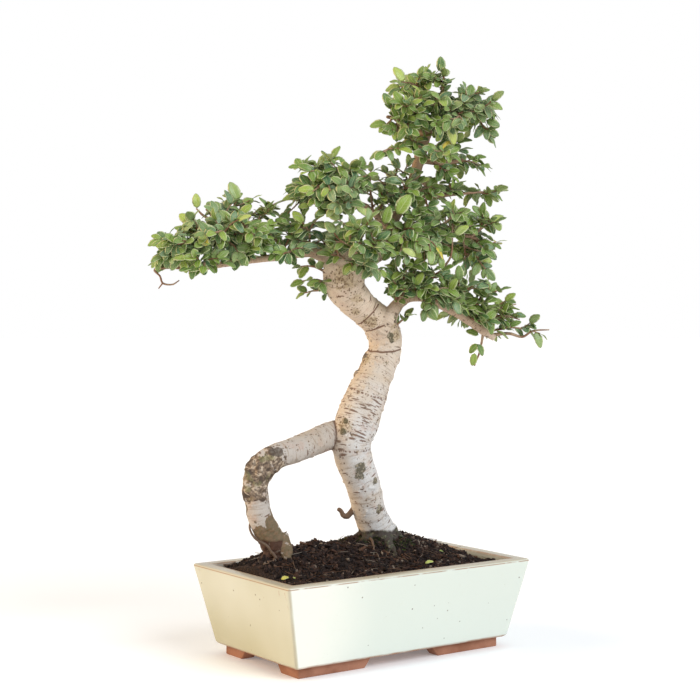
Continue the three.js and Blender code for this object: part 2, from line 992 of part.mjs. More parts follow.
// The origin goes to the middle of the bottom of the whole object's box
const box = new THREE.Box3().setFromObject(tree);
const middle = box.getCenter(new THREE.Vector3());
tree.position.set(-middle.x, -middle.y, -box.min.z);

export default tree;
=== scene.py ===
"""Looks of a potted chinese elm bonsai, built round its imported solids.

Blender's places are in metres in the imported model's frame. The tree is laid out in a front view, in
millimetres: across to the right, away from the viewer, and up, measured from the middle of the pot.
"""

import sys
import json
import logging
import math
from collections.abc import Callable, Iterable, Iterator, Sequence
from dataclasses import dataclass, field
from enum import Enum
from random import Random

import bmesh
import bpy
import numpy as np
from mathutils import Matrix, Quaternion, Vector

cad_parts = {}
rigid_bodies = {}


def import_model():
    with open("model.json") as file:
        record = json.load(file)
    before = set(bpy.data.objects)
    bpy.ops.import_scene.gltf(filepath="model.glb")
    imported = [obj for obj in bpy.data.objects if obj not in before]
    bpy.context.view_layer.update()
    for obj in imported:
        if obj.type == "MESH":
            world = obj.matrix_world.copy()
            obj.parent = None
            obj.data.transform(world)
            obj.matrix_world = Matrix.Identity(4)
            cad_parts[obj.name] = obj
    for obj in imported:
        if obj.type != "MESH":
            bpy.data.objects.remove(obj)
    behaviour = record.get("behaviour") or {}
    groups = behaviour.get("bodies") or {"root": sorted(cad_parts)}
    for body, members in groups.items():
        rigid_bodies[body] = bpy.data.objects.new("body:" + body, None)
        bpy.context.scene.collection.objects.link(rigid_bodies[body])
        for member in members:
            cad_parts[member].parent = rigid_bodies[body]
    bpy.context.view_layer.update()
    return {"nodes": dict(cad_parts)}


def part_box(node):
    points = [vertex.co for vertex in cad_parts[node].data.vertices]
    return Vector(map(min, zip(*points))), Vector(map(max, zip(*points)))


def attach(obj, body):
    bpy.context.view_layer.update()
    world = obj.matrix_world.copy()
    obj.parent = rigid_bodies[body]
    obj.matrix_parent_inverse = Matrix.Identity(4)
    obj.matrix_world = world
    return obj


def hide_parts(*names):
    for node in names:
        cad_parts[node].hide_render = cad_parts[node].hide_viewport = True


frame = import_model()

LOG = logging.getLogger("bonsai")
Array = np.ndarray
Piece = bpy.types.Object
Pair = tuple[float, float]
Colour = tuple[float, float, float]
Row = tuple[float, ...]
MM = 0.001
BODY = "root"

# The front view is turned from the pot's long side by this angle
FRONT_TURN = math.radians(35.5)

# Wood: each path is a list of (across, away, up, radius)
WOOD: dict[str, list[Row]] = {
    "trunk": [
        (17, 20, 62, 15.5), (14, 19, 80, 14.2), (6, 12, 100, 12.4), (0, 5, 124, 12.9), (-7.5, -1, 146, 14.2),
        (-8.5, -2, 158, 15.2), (-4.5, 1, 171, 16.6), (2, 6, 189, 15.3), (9.8, 13, 208, 13.3),
        (16.5, 20, 224, 12.6), (17, 20, 235, 12.9), (11, 14, 247, 12.6), (1, 4, 256, 11.8),
        (-8, -5, 265, 13.2), (-13, -9, 273, 14.9), (-14, -11, 282, 15.8), (-13, -12, 290, 15.2),
        (-10, -9, 296, 12.5)
    ],
    "leg": [
        (-4, 8, 166, 9.0), (-21, 1, 162, 10.6), (-38, -15, 157, 9.9), (-53, -30, 152, 9.2),
        (-64, -39, 149, 9.4), (-73, -45, 143, 9.9), (-78, -47, 131, 9.7), (-77, -46, 120, 8.9),
        (-75, -45, 107, 8.9), (-68, -40, 92, 9.3), (-61, -34, 78, 10.0), (-56, -30, 62, 9.5)
    ],
    "arm": [
        (-13, -8, 288, 9.0), (-20, -3, 292, 6.9), (-31, -4, 297, 5.3), (-40, -8, 299, 4.2),
        (-56, -14, 296, 3.1), (-76, -22, 293, 2.6), (-97, -30, 290, 2.4), (-119, -38, 286, 2.1),
        (-131, -42, 285, 1.8)
    ],
    "arm_tip": [(-118, -38, 286, 1.8), (-124, -40, 296, 1.6), (-131, -42, 300, 1.5), (-141, -46, 298, 1.3)],
    "arm_middle": [
        (-80, -24, 292, 2.2), (-85, -24, 300, 1.9), (-87, -26, 306, 1.7), (-99, -30, 308, 1.5),
        (-114, -34, 306, 1.3), (-124, -36, 304, 1.2)
    ],
    "arm_upper": [(-86, -25, 302, 1.7), (-89, -20, 315, 1.5), (-101, -16, 319, 1.3), (-110, -12, 322, 1.2)],
    "leader": [
        (-4, 2, 288, 8.0), (7, 6, 295, 6.3), (14, 8, 301, 5.2), (18, 10, 310, 4.8), (22, 13, 321, 4.6),
        (28, 16, 333, 4.6), (35, 18, 343, 4.5), (39, 20, 355, 4.3), (42, 21, 366, 4.4), (45, 22, 377, 4.7),
        (47, 22, 388, 5.1), (51, 21, 396, 4.8), (55, 20, 402, 3.6)
    ],
    "right": [
        (12, 10, 239, 7.0), (19, 7, 248.5, 6.5), (23.5, 9, 256, 5.3), (29.5, 12, 262.5, 4.3),
        (38, 16, 265.5, 3.7), (49, 20, 264, 3.1), (60, 25, 259, 3.0), (72, 30, 253, 3.0), (84, 35, 246, 3.3),
        (94, 39, 239, 3.4), (103, 42, 234, 2.9)
    ],
    "middle_left": [
        (21, 13, 318, 2.8), (10, 8, 327, 2.4), (0, 4, 335, 2.1), (-13, -2, 330, 1.9), (-19, -6, 338, 1.7),
        (-21, -10, 349, 1.4), (-30, -14, 354, 1.2)
    ],
    "middle_right": [(35, 18, 343, 2.6), (55, 22, 343, 1.9), (77, 28, 345, 1.2), (95, 34, 347, 0.9)],
    "low_right": [
        (23, 13, 320, 2.4), (38, 16, 318, 2.1), (54, 20, 313, 1.9), (83, 28, 312, 1.6), (96, 34, 306, 1.3)
    ],
    "crown_left": [(43, 22, 378, 2.2), (35, 16, 380, 1.9), (24, 8, 378, 1.6), (12, -1, 373, 1.3)],
    "crown_front": [(49, 21, 392, 2.4), (30, 12, 400, 1.9), (18, 2, 401, 1.4)],
    "crown_top": [(55, 20, 401, 2.6), (57, 22, 410, 2.1), (52, 26, 420, 1.7), (48, 30, 427, 1.3)],
    "crown_right": [(55, 20, 401, 2.6), (67, 16, 405, 2.0), (80, 14, 410, 1.6), (89, 11, 409, 1.3)],
    "crown_low_right": [(44, 21, 370, 2.4), (59, 22, 368, 2.0), (78, 30, 371, 1.5)],
    "back_low": [(21, 13, 321, 2.6), (20, 36, 322, 2.0), (17, 51, 321, 1.5)],
    "back_high": [(40, 20, 356, 2.4), (48, 40, 354, 1.9), (53, 56, 350, 1.4)],
    "back_left": [(-13, -6, 279, 4.0), (-19, 16, 291, 2.2), (-25, 32, 300, 1.5)],
    "front": [(-10, -14, 285, 4.0), (-5, -30, 295, 2.2), (-2, -42, 302, 1.5)],
    "trunk_stub": [
        (-4, 8, 108, 2.9), (-9.6, 6, 102, 2.3), (-12, 5, 99.4, 2.2), (-15, 5, 100.5, 2.0),
        (-16.6, 5, 104, 1.8), (-19, 5, 105.3, 1.6)
    ],
    "root_front_left": [(9, 14, 90, 6.5), (0, 4, 78, 4.6), (-10, -6, 69, 3.2), (-16, -12, 61, 2.2)],
    "root_front_right": [(15, 14, 88, 6.5), (20, 2, 77, 3.8), (26, -9, 67, 2.3), (30, -15, 60, 1.6)],
    "root_right": [(18, 20, 88, 6.5), (30, 21, 78, 4.4), (41, 21, 70, 3.0), (48, 20, 62, 2.2)],
    "root_back": [(14, 24, 88, 6.5), (12, 35, 78, 4.8), (8, 45, 69, 3.2), (6, 50, 63, 2.4)],
    "root_back_left": [(8, 22, 88, 6.5), (-4, 26, 79, 4.6), (-15, 31, 71, 3.2), (-20, 33, 65, 2.4)],
    "leg_root_left": [(-63, -36, 88, 5.8), (-70, -42, 76, 3.8), (-76, -45, 66, 2.6)],
    "leg_root_right": [(-61, -36, 90, 7.0), (-57, -40, 83, 5.6), (-55, -43, 76, 4.0), (-54, -46, 68, 2.6)]
}

# Bare twigs and cut stubs that stand free of the leaves, laid out like the wood
BARE_TWIGS: list[list[Row]] = [
    [
        (-130, -42, 286, 1.3), (-142, -45, 286, 0.9), (-151, -45, 284.5, 0.8), (-147, -45, 280, 0.7),
        (-145, -45, 275, 0.7), (-138, -45, 274, 0.6), (-133, -45, 277, 0.4)
    ],
    [(-145, -45, 275, 0.6), (-148, -45, 271, 0.4)],
    [(-108, -12, 321, 1.6), (-113, -12, 327, 1.5), (-116, -13, 331, 1.6)],
    [(-110, -12, 322, 1.6), (-111, -11, 328, 1.6), (-112, -10, 333, 1.5)],
    [(-107, -13, 321, 1.5), (-107, -13, 327, 1.4), (-108, -14, 332, 1.4)],
    [(-112, -12, 322, 1.2), (-119, -12, 326, 0.9), (-124, -12, 331, 0.6)],
    [(-13, -2, 331, 1.3), (-40, -6, 336, 1.0), (-56, -9, 338, 0.8), (-75, -10, 330, 0.5)],
    [
        (100, 42, 236, 1.5), (115, 45, 237, 1.2), (125, 45, 234.5, 1.0), (133, 46, 239, 0.8),
        (146, 46, 240, 0.5)
    ],
    [(94, 39, 238, 1.2), (91, 38, 223, 0.8), (87, 38, 212, 0.5)],
    [(96, 36, 258, 1.0), (105, 42, 257, 0.8), (120, 44, 260, 0.5)],
    [(98, 38, 250, 1.0), (111, 44, 251, 0.8), (123, 46, 248, 0.5)],
    [(62, 16, 288, 1.0), (67, 11, 297, 0.8), (68, 10, 321, 0.6)],
    [(6, 14, 290, 2.4), (14, 22, 295, 2.0), (24, 28, 302, 1.6)],
    [
        (-81, -45, 105, 0.9), (-82, -47, 98, 0.8), (-78, -48, 91, 0.9), (-70, -47, 86, 1.1),
        (-65.5, -45.8, 80, 1.2), (-61, -46, 73, 1.2), (-58, -48, 66, 1.0)
    ],
    [(-61, -40, 91, 1.3), (-57.5, -39, 93, 1.0), (-55.6, -38, 94.5, 0.3)]
]

# Sprays: each tip is (across, away, up), and its twig grows from the nearest of the named wood
SPRAYS: dict[str, tuple[tuple[str, ...], list[Row]]] = {
    "left": (
        ("arm", "arm_tip", "arm_middle", "arm_upper"),
        [
            (-145, -56, 294), (-143, -46, 308), (-135, -30, 291), (-126, -36, 319), (-129, -62, 305),
            (-114, -58, 287), (-106, -60, 311), (-107, -22, 329), (-94, -8, 338), (-89, -46, 320),
            (-80, 2, 330), (-67, -18, 331), (-59, -36, 296), (-73, -53, 309), (-45, -28, 320), (-30, -14, 307)
        ]
    ),
    "middle": (
        ("middle_left", "leader"),
        [(-48, -16, 362), (-37, -34, 342), (-29, -2, 366), (-13, -24, 360), (-8, -38, 341), (-23, 18, 353)]
    ),
    "front": (("front", "leader"), [(-20, -44, 305), (-4, -52, 314), (13, -46, 306), (6, -34, 285)]),
    "back": (("back_left", "back_low", "back_high"), [(-20, 44, 302), (18, 60, 323), (54, 66, 331)]),
    "crown": (
        ("leader", "crown_left", "crown_front", "crown_top", "crown_right", "crown_low_right"),
        [
            (29, 14, 429), (46, 30, 434), (62, 14, 434), (79, 26, 421), (90, 8, 408), (98, 26, 389),
            (92, 36, 368), (74, -10, 397), (61, 52, 412), (36, -12, 409), (17, -6, 394), (15, -12, 373),
            (61, -16, 373)
        ]
    ),
    "middle_right": (
        ("middle_right", "low_right"), [(97, 40, 345), (102, 20, 323), (95, 44, 306), (74, -4, 329)]
    ),
    "right": (
        ("right", "low_right"),
        [
            (31, -8, 272), (52, 4, 259), (60, 0, 286), (80, 14, 274), (80, 46, 252), (106, 28, 271),
            (140, 54, 237), (93, 56, 293)
        ]
    ),
    "low": (("trunk",), [(-45, -16, 277)])
}

# More tips for the same pads, in their thick inner parts, which the solids leave open
INNER_TIPS: dict[str, list[Row]] = {
    "left": [
        (-102, -40, 302), (-90, -36, 298), (-96, -30, 307), (-79, -25, 303), (-114, -44, 308),
        (-69, -20, 310), (-122, -46, 300), (-58, -14, 318)
    ],
    "middle": [
        (16, 10, 360), (26, 0, 362), (19, -5, 347), (29, -12, 351), (22, 2, 336), (12, 20, 355), (6, 8, 361),
        (-8, -5, 363), (-53, -10, 335), (-41, -22, 331), (-28, -28, 328), (-17, -35, 330), (-47, 0, 340),
        (-56, -15, 327), (-2, -26, 350), (-16, -20, 340)
    ],
    "front": [(-8, -30, 318), (4, -40, 300), (-24, -32, 296)],
    "crown": [
        (34, -10, 391), (59, 5, 390), (67, 15, 395), (41, -12, 403), (50, -5, 399), (37, 8, 384),
        (64, 20, 384), (54, 2, 416), (38, 6, 418), (72, 12, 410), (78, 8, 419), (53, 10, 349), (59, 20, 362),
        (24, -4, 404), (25, -4, 389)
    ],
    "middle_right": [
        (71, 30, 351), (65, 25, 346), (73, 20, 323), (83, 30, 322), (77, 10, 315), (66, 25, 302),
        (54, 8, 307), (59, 10, 295)
    ],
    "right": [
        (29, -12, 309), (41, 0, 311), (33, -18, 295), (46, -5, 291), (25, -8, 288), (39, 5, 286),
        (27, 10, 304), (50, -15, 299), (68, 10, 263), (81, 22, 260), (96, 35, 254), (109, 42, 257),
        (87, 30, 249), (119, 48, 251), (58, 0, 269), (46, -6, 272), (43, -4, 330), (31, -12, 291),
        (79, 25, 288), (70, 20, 275), (87, 25, 275), (112, 44, 263), (85, 27, 283), (27, -14, 296)
    ],
    "low": [(34, 7, 251), (-47, -11, 288), (-44, -12, 268)]
}


class FrontView:
    """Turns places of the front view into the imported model's frame."""

    def __init__(self) -> None:
        """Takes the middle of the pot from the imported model."""
        low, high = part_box("pot")
        self.middle = np.array([(low.x + high.x) / 2, (low.y + high.y) / 2, 0.0])
        cos, sin = math.cos(FRONT_TURN), math.sin(FRONT_TURN)
        self.axes = np.array([[cos, -sin, 0.0], [sin, cos, 0.0], [0.0, 0.0, 1.0]])

    def place(self, points: Sequence[Sequence[float]] | Array) -> Array:
        """Gives the metres for rows that start with across, away and up in millimetres."""
        return np.asarray(points, float)[:, :3] @ self.axes * MM + self.middle

    def direction(self, across: float, away: float, up: float) -> Array:
        """Gives the unit vector of a front-view direction."""
        turned = np.array([across, away, up], float) @ self.axes
        return turned / np.linalg.norm(turned)


VIEW = FrontView()


class Draws:
    """Repeatable random numbers from 0 to 1, the same as those that place the solid leaves."""

    MULTIPLIER = 1664525
    INCREMENT = 1013904223
    RANGE = 2**32

    def __init__(self, seed: int) -> None:
        """Starts the row of numbers at a seed."""
        self.state = seed % self.RANGE

    def __call__(self) -> float:
        """Gives the next number."""
        self.state = (self.state * self.MULTIPLIER + self.INCREMENT) % self.RANGE
        return self.state / self.RANGE


# Numbers that turn a lattice place and a seed into a random value
HASH_AXES = (73856093, 19349663, 83492791)
HASH_SEED = 2654435761
HASH_ROUNDS = ((15, 2246822519), (13, 3266489917))


def unit(vectors: Array) -> Array:
    """Scales one vector, or each row of vectors, to length 1."""
    length = np.linalg.norm(vectors, axis=-1, keepdims=True)
    return vectors / np.maximum(length, 1e-12)


def smooth(value: Array, low: float, high: float) -> Array:
    """Rises smoothly from 0 at a low value to 1 at a high one."""
    t = np.clip((value - low) / (high - low), 0, 1)
    return t * t * (3 - 2 * t)


def lattice_noise(points: Array, cell: Sequence[float] | float, seed: int) -> Array:
    """Gives smooth noise from random values on a lattice.

    Args:
        points: Rows of three coordinates.
        cell: Size of the lattice's cells, for all axes or each.
        seed: Number that picks the values.

    Returns:
        A value from -1 to 1 for each row.
    """
    scaled = points / np.asarray(cell, float)
    low = np.floor(scaled)
    part = scaled - low
    blend = part * part * (3 - 2 * part)
    corner_of = low.astype(np.int64).astype(np.uint32)
    total = np.zeros(len(points))
    for corner in np.ndindex(2, 2, 2):
        step = np.array(corner, np.uint32)
        weight = np.prod(np.where(step, blend, 1 - blend), axis=1)
        key = (corner_of + step) * np.array(HASH_AXES, np.uint32)
        mixed = key[:, 0] ^ key[:, 1] ^ key[:, 2] ^ np.uint32(seed * HASH_SEED % 2**32)
        for bits, factor in HASH_ROUNDS:
            mixed = (mixed ^ (mixed >> np.uint32(bits))) * np.uint32(factor)
        total += weight * ((mixed >> np.uint32(8)) / float(2**23) - 1)
    return total


class Spline:
    """A centripetal Catmull-Rom curve through points, with a radius along it."""

    def __init__(self, points: Array, radii: Sequence[float]) -> None:
        """Works out the curve's coefficients.

        Args:
            points: Rows of X, Y and Z that the curve passes through.
            radii: The radius at each of the points.
        """
        self.radii = np.asarray(radii, float)
        ends = np.vstack([2 * points[0] - points[1], points, 2 * points[-1] - points[-2]])
        gaps = np.maximum(np.linalg.norm(np.diff(ends, axis=0), axis=1) ** 0.5, 1e-9)[:, None]
        slopes = np.diff(ends, axis=0) / gaps
        before, span, after = gaps[:-2], gaps[1:-1], gaps[2:]
        chord = ends[2:] - ends[:-2]
        tangent_in = (slopes[:-2] - chord[:-1] / (before + span) + slopes[1:-1]) * span
        tangent_out = (slopes[1:-1] - chord[1:] / (span + after) + slopes[2:]) * span
        start, end = points[:-1], points[1:]
        self.terms = [
            start, tangent_in, 3 * (end - start) - 2 * tangent_in - tangent_out,
            2 * (start - end) + tangent_in + tangent_out
        ]

    def _share(self, t: Array) -> tuple[Array, Array]:
        """Gives the span of each parameter from 0 to 1, and how far along it."""
        at = np.clip(t, 0, 1) * len(self.terms[0])
        span = np.minimum(at.astype(int), len(self.terms[0]) - 1)
        return span, (at - span)[:, None]

    def point(self, t: Array) -> Array:
        """Gives the points at parameters from 0 to 1."""
        span, w = self._share(t)
        a, b, c, d = (term[span] for term in self.terms)
        return a + w * (b + w * (c + w * d))

    def tangent(self, t: Array) -> Array:
        """Gives the unit tangents."""
        span, w = self._share(t)
        _, b, c, d = (term[span] for term in self.terms)
        return unit(b + w * (2 * c + w * 3 * d))

    def radius(self, t: Array) -> Array:
        """Gives the radii, blended smoothly between the points."""
        span, w = self._share(t)
        w = w[:, 0]
        blend = w * w * (3 - 2 * w)
        return self.radii[span] * (1 - blend) + self.radii[span + 1] * blend

    def length(self) -> float:
        """Measures the curve."""
        walk = self.point(np.linspace(0, 1, 8 * len(self.radii)))
        return float(np.linalg.norm(np.diff(walk, axis=0), axis=1).sum())


def wood_spline(path: Sequence[Sequence[float]]) -> Spline:
    """Gives the curve of a front-view path of across, away, up and radius."""
    return Spline(VIEW.place(path), [MM * row[3] for row in path])


@dataclass
class Stations:
    """Places along a curve with a steady pair of sideways axes."""

    FIRST_SIDE = (0.3, 1.0, 0.2)

    centres: Array
    tangents: Array
    sides: Array
    ups: Array
    radii: Array
    lengths: Array

    @classmethod
    def along(cls, spline: Spline, count: int) -> "Stations":
        """Walks a curve.

        Args:
            spline: The curve.
            count: Number of stations, both ends included.

        Returns:
            The stations, evenly spaced in the curve's parameter.
        """
        t = np.linspace(0, 1, count)
        centres, tangents = spline.point(t), spline.tangent(t)
        side = np.array(cls.FIRST_SIDE)
        sides = []
        for tangent in tangents:
            side = unit(side - tangent * (side @ tangent))
            sides.append(side)
        sides = np.array(sides)
        steps = np.linalg.norm(np.diff(centres, axis=0), axis=1)
        lengths = np.concatenate([[0.0], np.cumsum(steps)])
        return cls(centres, tangents, sides, np.cross(tangents, sides), spline.radius(t), lengths)


def ring_faces(count: int, rows: int) -> list[tuple[int, ...]]:
    """Gives the faces between rows of points that each form a ring."""
    return [
        (row + i, row + (i + 1) % count, row + count + (i + 1) % count, row + count + i)
        for row in range(0, (rows - 1) * count, count)
        for i in range(count)
    ]


@dataclass
class Draft:
    """Points, faces and edges of a mesh that is being put together."""

    points: list[Array] = field(default_factory=list)
    faces: list[tuple[int, ...]] = field(default_factory=list)
    edges: list[tuple[int, int]] = field(default_factory=list)
    count: int = 0

    def add(self, points: Sequence[Row], faces: Iterable[Sequence[int]] = (), line: bool = False) -> "Draft":
        """Adds a part that numbers its own points, with edges if it is a line."""
        self.faces.extend(tuple(int(i) + self.count for i in face) for face in faces)
        if line:
            self.edges.extend((self.count + i, self.count + i + 1) for i in range(len(points) - 1))
        self.points.append(np.asarray(points, float))
        self.count += len(points)
        return self

    def tube(self, spline: "Spline", count: int, sides: int, blunt: float = 0.35) -> "Draft":
        """Adds a closed round stem.

        Args:
            spline: Its curve.
            count: Number of its rings.
            sides: Number of points in a ring.
            blunt: How far the ends stand out, as a share of the radius.

        Returns:
            The draft.
        """
        walk = Stations.along(spline, count)
        angles = (2 * math.pi * np.arange(sides) / sides)[None, :, None]
        spokes = np.cos(angles) * walk.sides[:, None] + np.sin(angles) * walk.ups[:, None]
        rings = walk.centres[:, None] + spokes * walk.radii[:, None, None]
        ends = walk.centres[[0, -1]] + blunt * (walk.radii[:, None] * walk.tangents)[[0, -1]] * [[-1], [1]]
        last = count * sides
        faces = ring_faces(sides, count)
        for k in range(sides):
            after = (k + 1) % sides
            faces += [(last, after, k), (last + 1, last - sides + k, last - sides + after)]
        return self.add(np.vstack([rings.reshape(-1, 3), ends]), faces)

    def object(self, name: str) -> Piece:
        """Makes the mesh and its object."""
        mesh = bpy.data.meshes.new(name)
        mesh.from_pydata(np.vstack(self.points).tolist(), self.edges, self.faces)
        return put_object(name, mesh)


def put_object(name: str, data: bpy.types.ID) -> Piece:
    """Makes an object and puts it in the scene."""
    made = bpy.data.objects.new(name, data)
    bpy.context.scene.collection.objects.link(made)
    return made


def put_attribute(mesh: bpy.types.Mesh, name: str, values: Sequence[float] | Array) -> None:
    """Gives each point of a mesh a number or a vector under a name."""
    values = np.ascontiguousarray(values, np.float32)
    kind, key = ("FLOAT_VECTOR", "vector") if values.ndim > 1 else ("FLOAT", "value")
    mesh.attributes.new(name, kind, "POINT").data.foreach_set(key, values.ravel())


def read_rows(rows: bpy.types.bpy_prop_collection, key: str) -> Array:
    """Reads the places or normals of a mesh as rows."""
    values = np.empty(len(rows) * 3, np.float32)
    rows.foreach_get(key, values)
    return values.reshape(-1, 3).astype(float)


def modify(made: Piece, kind: str, **settings: object) -> Piece:
    """Gives an object a modifier with its settings."""
    modifier = made.modifiers.new(kind.lower(), kind)
    for name, value in settings.items():
        setattr(modifier, name, value)
    return made


def settle(made: Piece) -> Piece:
    """Makes the result of an object's modifiers its plain mesh."""
    mesh = bpy.data.meshes.new_from_object(made.evaluated_get(bpy.context.evaluated_depsgraph_get()))
    made.modifiers.clear()
    old, made.data = made.data, mesh
    bpy.data.meshes.remove(old)
    mesh.name = made.name
    return made


def hidden_collection(name: str, members: Iterable[Piece]) -> bpy.types.Collection:
    """Moves objects into a collection outside the scene."""
    made = bpy.data.collections.new(name)
    for member in members:
        bpy.context.scene.collection.objects.unlink(member)
        made.objects.link(member)
    return made


def drop_collection(group: bpy.types.Collection) -> None:
    """Removes a collection with its objects."""
    for member in list(group.objects):
        bpy.data.objects.remove(member)
    bpy.data.collections.remove(group)


def math_method(operation: str, flipped: bool = False) -> Callable[..., "Wire"]:
    """Makes a method of a wire that adds a Math node.

    Args:
        operation: The node's operation.
        flipped: Whether the wire comes second, as it does in 1 - wire.

    Returns:
        The method, which takes the other value, if there is one.
    """

    def method(wire: "Wire", *other: "Wire | float") -> "Wire":
        """Adds the node."""
        values = (*other, wire) if flipped else (wire, *other)
        return wire.sheet.add("ShaderNodeMath", dict(enumerate(values)), operation=operation)

    return method


class Wire:
    """A value in a node tree. Arithmetic on it adds Math nodes."""

    __add__ = __radd__ = math_method("ADD")
    __sub__ = math_method("SUBTRACT")
    __rsub__ = math_method("SUBTRACT", flipped=True)
    __mul__ = __rmul__ = math_method("MULTIPLY")
    __abs__ = math_method("ABSOLUTE")
    below = math_method("LESS_THAN")
    larger = math_method("MAXIMUM")
    sine = math_method("SINE")

    def __init__(self, sheet: "NodeSheet", socket: bpy.types.NodeSocket) -> None:
        """Wraps an output of a node on a sheet."""
        self.sheet = sheet
        self.socket = socket

    def rise(self, low: float, high: float) -> "Wire":
        """Rises smoothly from 0 at low to 1 at high, or falls if low is the larger."""
        limits = {"Value": self, "From Min": low, "From Max": high}
        return self.sheet.add("ShaderNodeMapRange", limits, interpolation_type="SMOOTHSTEP")


class NodeSheet:
    """Adds nodes to one tree."""

    def __init__(self, tree: bpy.types.NodeTree) -> None:
        """Starts on a tree."""
        self.tree = tree

    @staticmethod
    def _socket(sockets: Iterable[bpy.types.NodeSocket], name: str | int) -> bpy.types.NodeSocket:
        """Finds a usable socket by its name or its number."""
        usable = [socket for socket in sockets if socket.enabled]
        if isinstance(name, int):
            return usable[name]
        return next(socket for socket in usable if socket.name == name)

    def node(
        self, kind: str, inputs: dict[str | int, object] | None = None, **settings: object
    ) -> bpy.types.Node:
        """Adds a node.

        Args:
            kind: Blender's name of the node's type.
            inputs: Values or wires, by the input's name or number.
            settings: The node's own settings, set first, or a ramp's stops.

        Returns:
            The node.
        """
        made = self.tree.nodes.new(kind)
        for element, (place, colour) in enumerate(settings.pop("stops", ())):
            if element > 1:
                made.color_ramp.elements.new(1.0)
            made.color_ramp.elements[element].position = place
            made.color_ramp.elements[element].color = (*colour, 1.0)
        for name, value in settings.items():
            setattr(made, name, value)
        for name, value in (inputs or {}).items():
            socket = self._socket(made.inputs, name)
            if isinstance(value, Wire):
                self.tree.links.new(value.socket, socket)
            else:
                short = socket.type == "RGBA" and len(value) == 3
                socket.default_value = (*value, 1.0) if short else value
        return made

    def add(self, kind: str, inputs: dict[str | int, object] | None = None, output: str | int = 0,
            **settings: object) -> Wire:
        """Adds a node and gives one of its outputs, as node() and wire() do."""
        return self.wire(self.node(kind, inputs, **settings), output)

    def wire(self, node: bpy.types.Node, output: str | int = 0) -> Wire:
        """Wraps an output of a node."""
        return Wire(self, self._socket(node.outputs, output))

    def attribute(self, name: str, output: str = "Fac") -> Wire:
        """Reads a named attribute of a mesh in a material."""
        return self.add("ShaderNodeAttribute", output=output, attribute_name=name)

    def place(self) -> Wire:
        """Reads the Object coordinates in a material."""
        return self.add("ShaderNodeTexCoord", output="Object")

    def parts(self, vector: Wire) -> list[Wire]:
        """Splits a vector into X, Y and Z."""
        node = self.node("ShaderNodeSeparateXYZ", {0: vector})
        return [self.wire(node, axis) for axis in range(3)]

    def stretch(self, vector: Wire, *scales: float) -> Wire:
        """Scales a vector along each axis."""
        return self.add("ShaderNodeVectorMath", {0: vector, 1: scales}, operation="MULTIPLY")

    def shift(self, vector: Wire, *offset: float) -> Wire:
        """Moves a vector by an offset."""
        return self.add("ShaderNodeVectorMath", {0: vector, 1: offset}, operation="ADD")

    def noise(self, vector: Wire, scale: float, detail: float = 3.0, distortion: float = 0.0) -> Wire:
        """Adds noise from 0 to 1."""
        inputs = {"Vector": vector, "Scale": scale, "Detail": detail, "Distortion": distortion}
        return self.add("ShaderNodeTexNoise", inputs)

    def spots(self, vector: Wire, scale: float, edge: Pair, share: "Wire | float",
              fewer: "Wire | float" = 0.0) -> Wire:
        """Draws spots in loose cells.

        Args:
            vector: Where the pattern is read.
            scale: Cells in a metre.
            edge: Where a spot starts and where it is whole, from the middle of its cell.
            share: Share of the cells that have a spot.
            fewer: What lowers each cell's draw, and so adds spots.

        Returns:
            1 in the spots and 0 around them.
        """
        node = self.node("ShaderNodeTexVoronoi", {"Vector": vector, "Scale": scale})
        draw = self.add("ShaderNodeSeparateColor", {0: self.wire(node, "Color")})
        if fewer:
            draw = draw - fewer
        return self.wire(node, "Distance").rise(*edge) * draw.below(share)

    def mix(self, share: "Wire | float", first: object, second: object, blend: str = "MIX") -> Wire:
        """Mixes two colours."""
        inputs = {"Factor": share, "A": first, "B": second}
        return self.add("ShaderNodeMix", inputs, "Result", data_type="RGBA", blend_type=blend)

    def layers(self, colour: object, *coats: tuple[Wire, object]) -> Wire:
        """Lays colours over a first one by their shares."""
        for share, coat in coats:
            colour = self.mix(share, colour, coat)
        return colour

    def shader(
        self, colour: object, roughness: Wire, height: Wire, relief: float, gloss: float = 0.5
    ) -> Wire:
        """Adds the main shader.

        Args:
            colour: Its base colour.
            roughness: Its roughness.
            height: Its fine relief, from 0 to 1.
            relief: The size of that relief, in metres.
            gloss: Its specular level.

        Returns:
            The shader.
        """
        normal = self.add("ShaderNodeBump", {"Height": height, "Distance": relief})
        inputs = {"Base Color": colour, "Roughness": roughness, "Normal": normal, "Specular IOR Level": gloss}
        return self.add("ShaderNodeBsdfPrincipled", inputs)


@dataclass(frozen=True)
class Finish:
    """A procedural finish. Each kind draws its own nodes."""

    name: str = "finish"

    def draw(self, sheet: NodeSheet) -> Wire:
        """Draws the nodes on a material's empty sheet and gives the finished shader."""
        raise NotImplementedError

    def material(self) -> bpy.types.Material:
        """Gives the material, made at the first call."""
        found = bpy.data.materials.get(self.name)
        if found is not None:
            return found
        made = bpy.data.materials.new(self.name)
        made.use_nodes = True
        made.node_tree.nodes.clear()
        sheet = NodeSheet(made.node_tree)
        sheet.node("ShaderNodeOutputMaterial", {"Surface": self.draw(sheet)})
        return made

    def dress(self, piece: Piece, sharp_degrees: float = 180.0) -> Piece:
        """Shades a piece smoothly but for its sharp edges, and gives it this finish."""
        piece.data.shade_smooth()
        if sharp_degrees < 180:
            piece.data.set_sharp_from_angle(angle=math.radians(sharp_degrees))
        piece.data.materials.clear()
        piece.data.materials.append(self.material())
        return piece


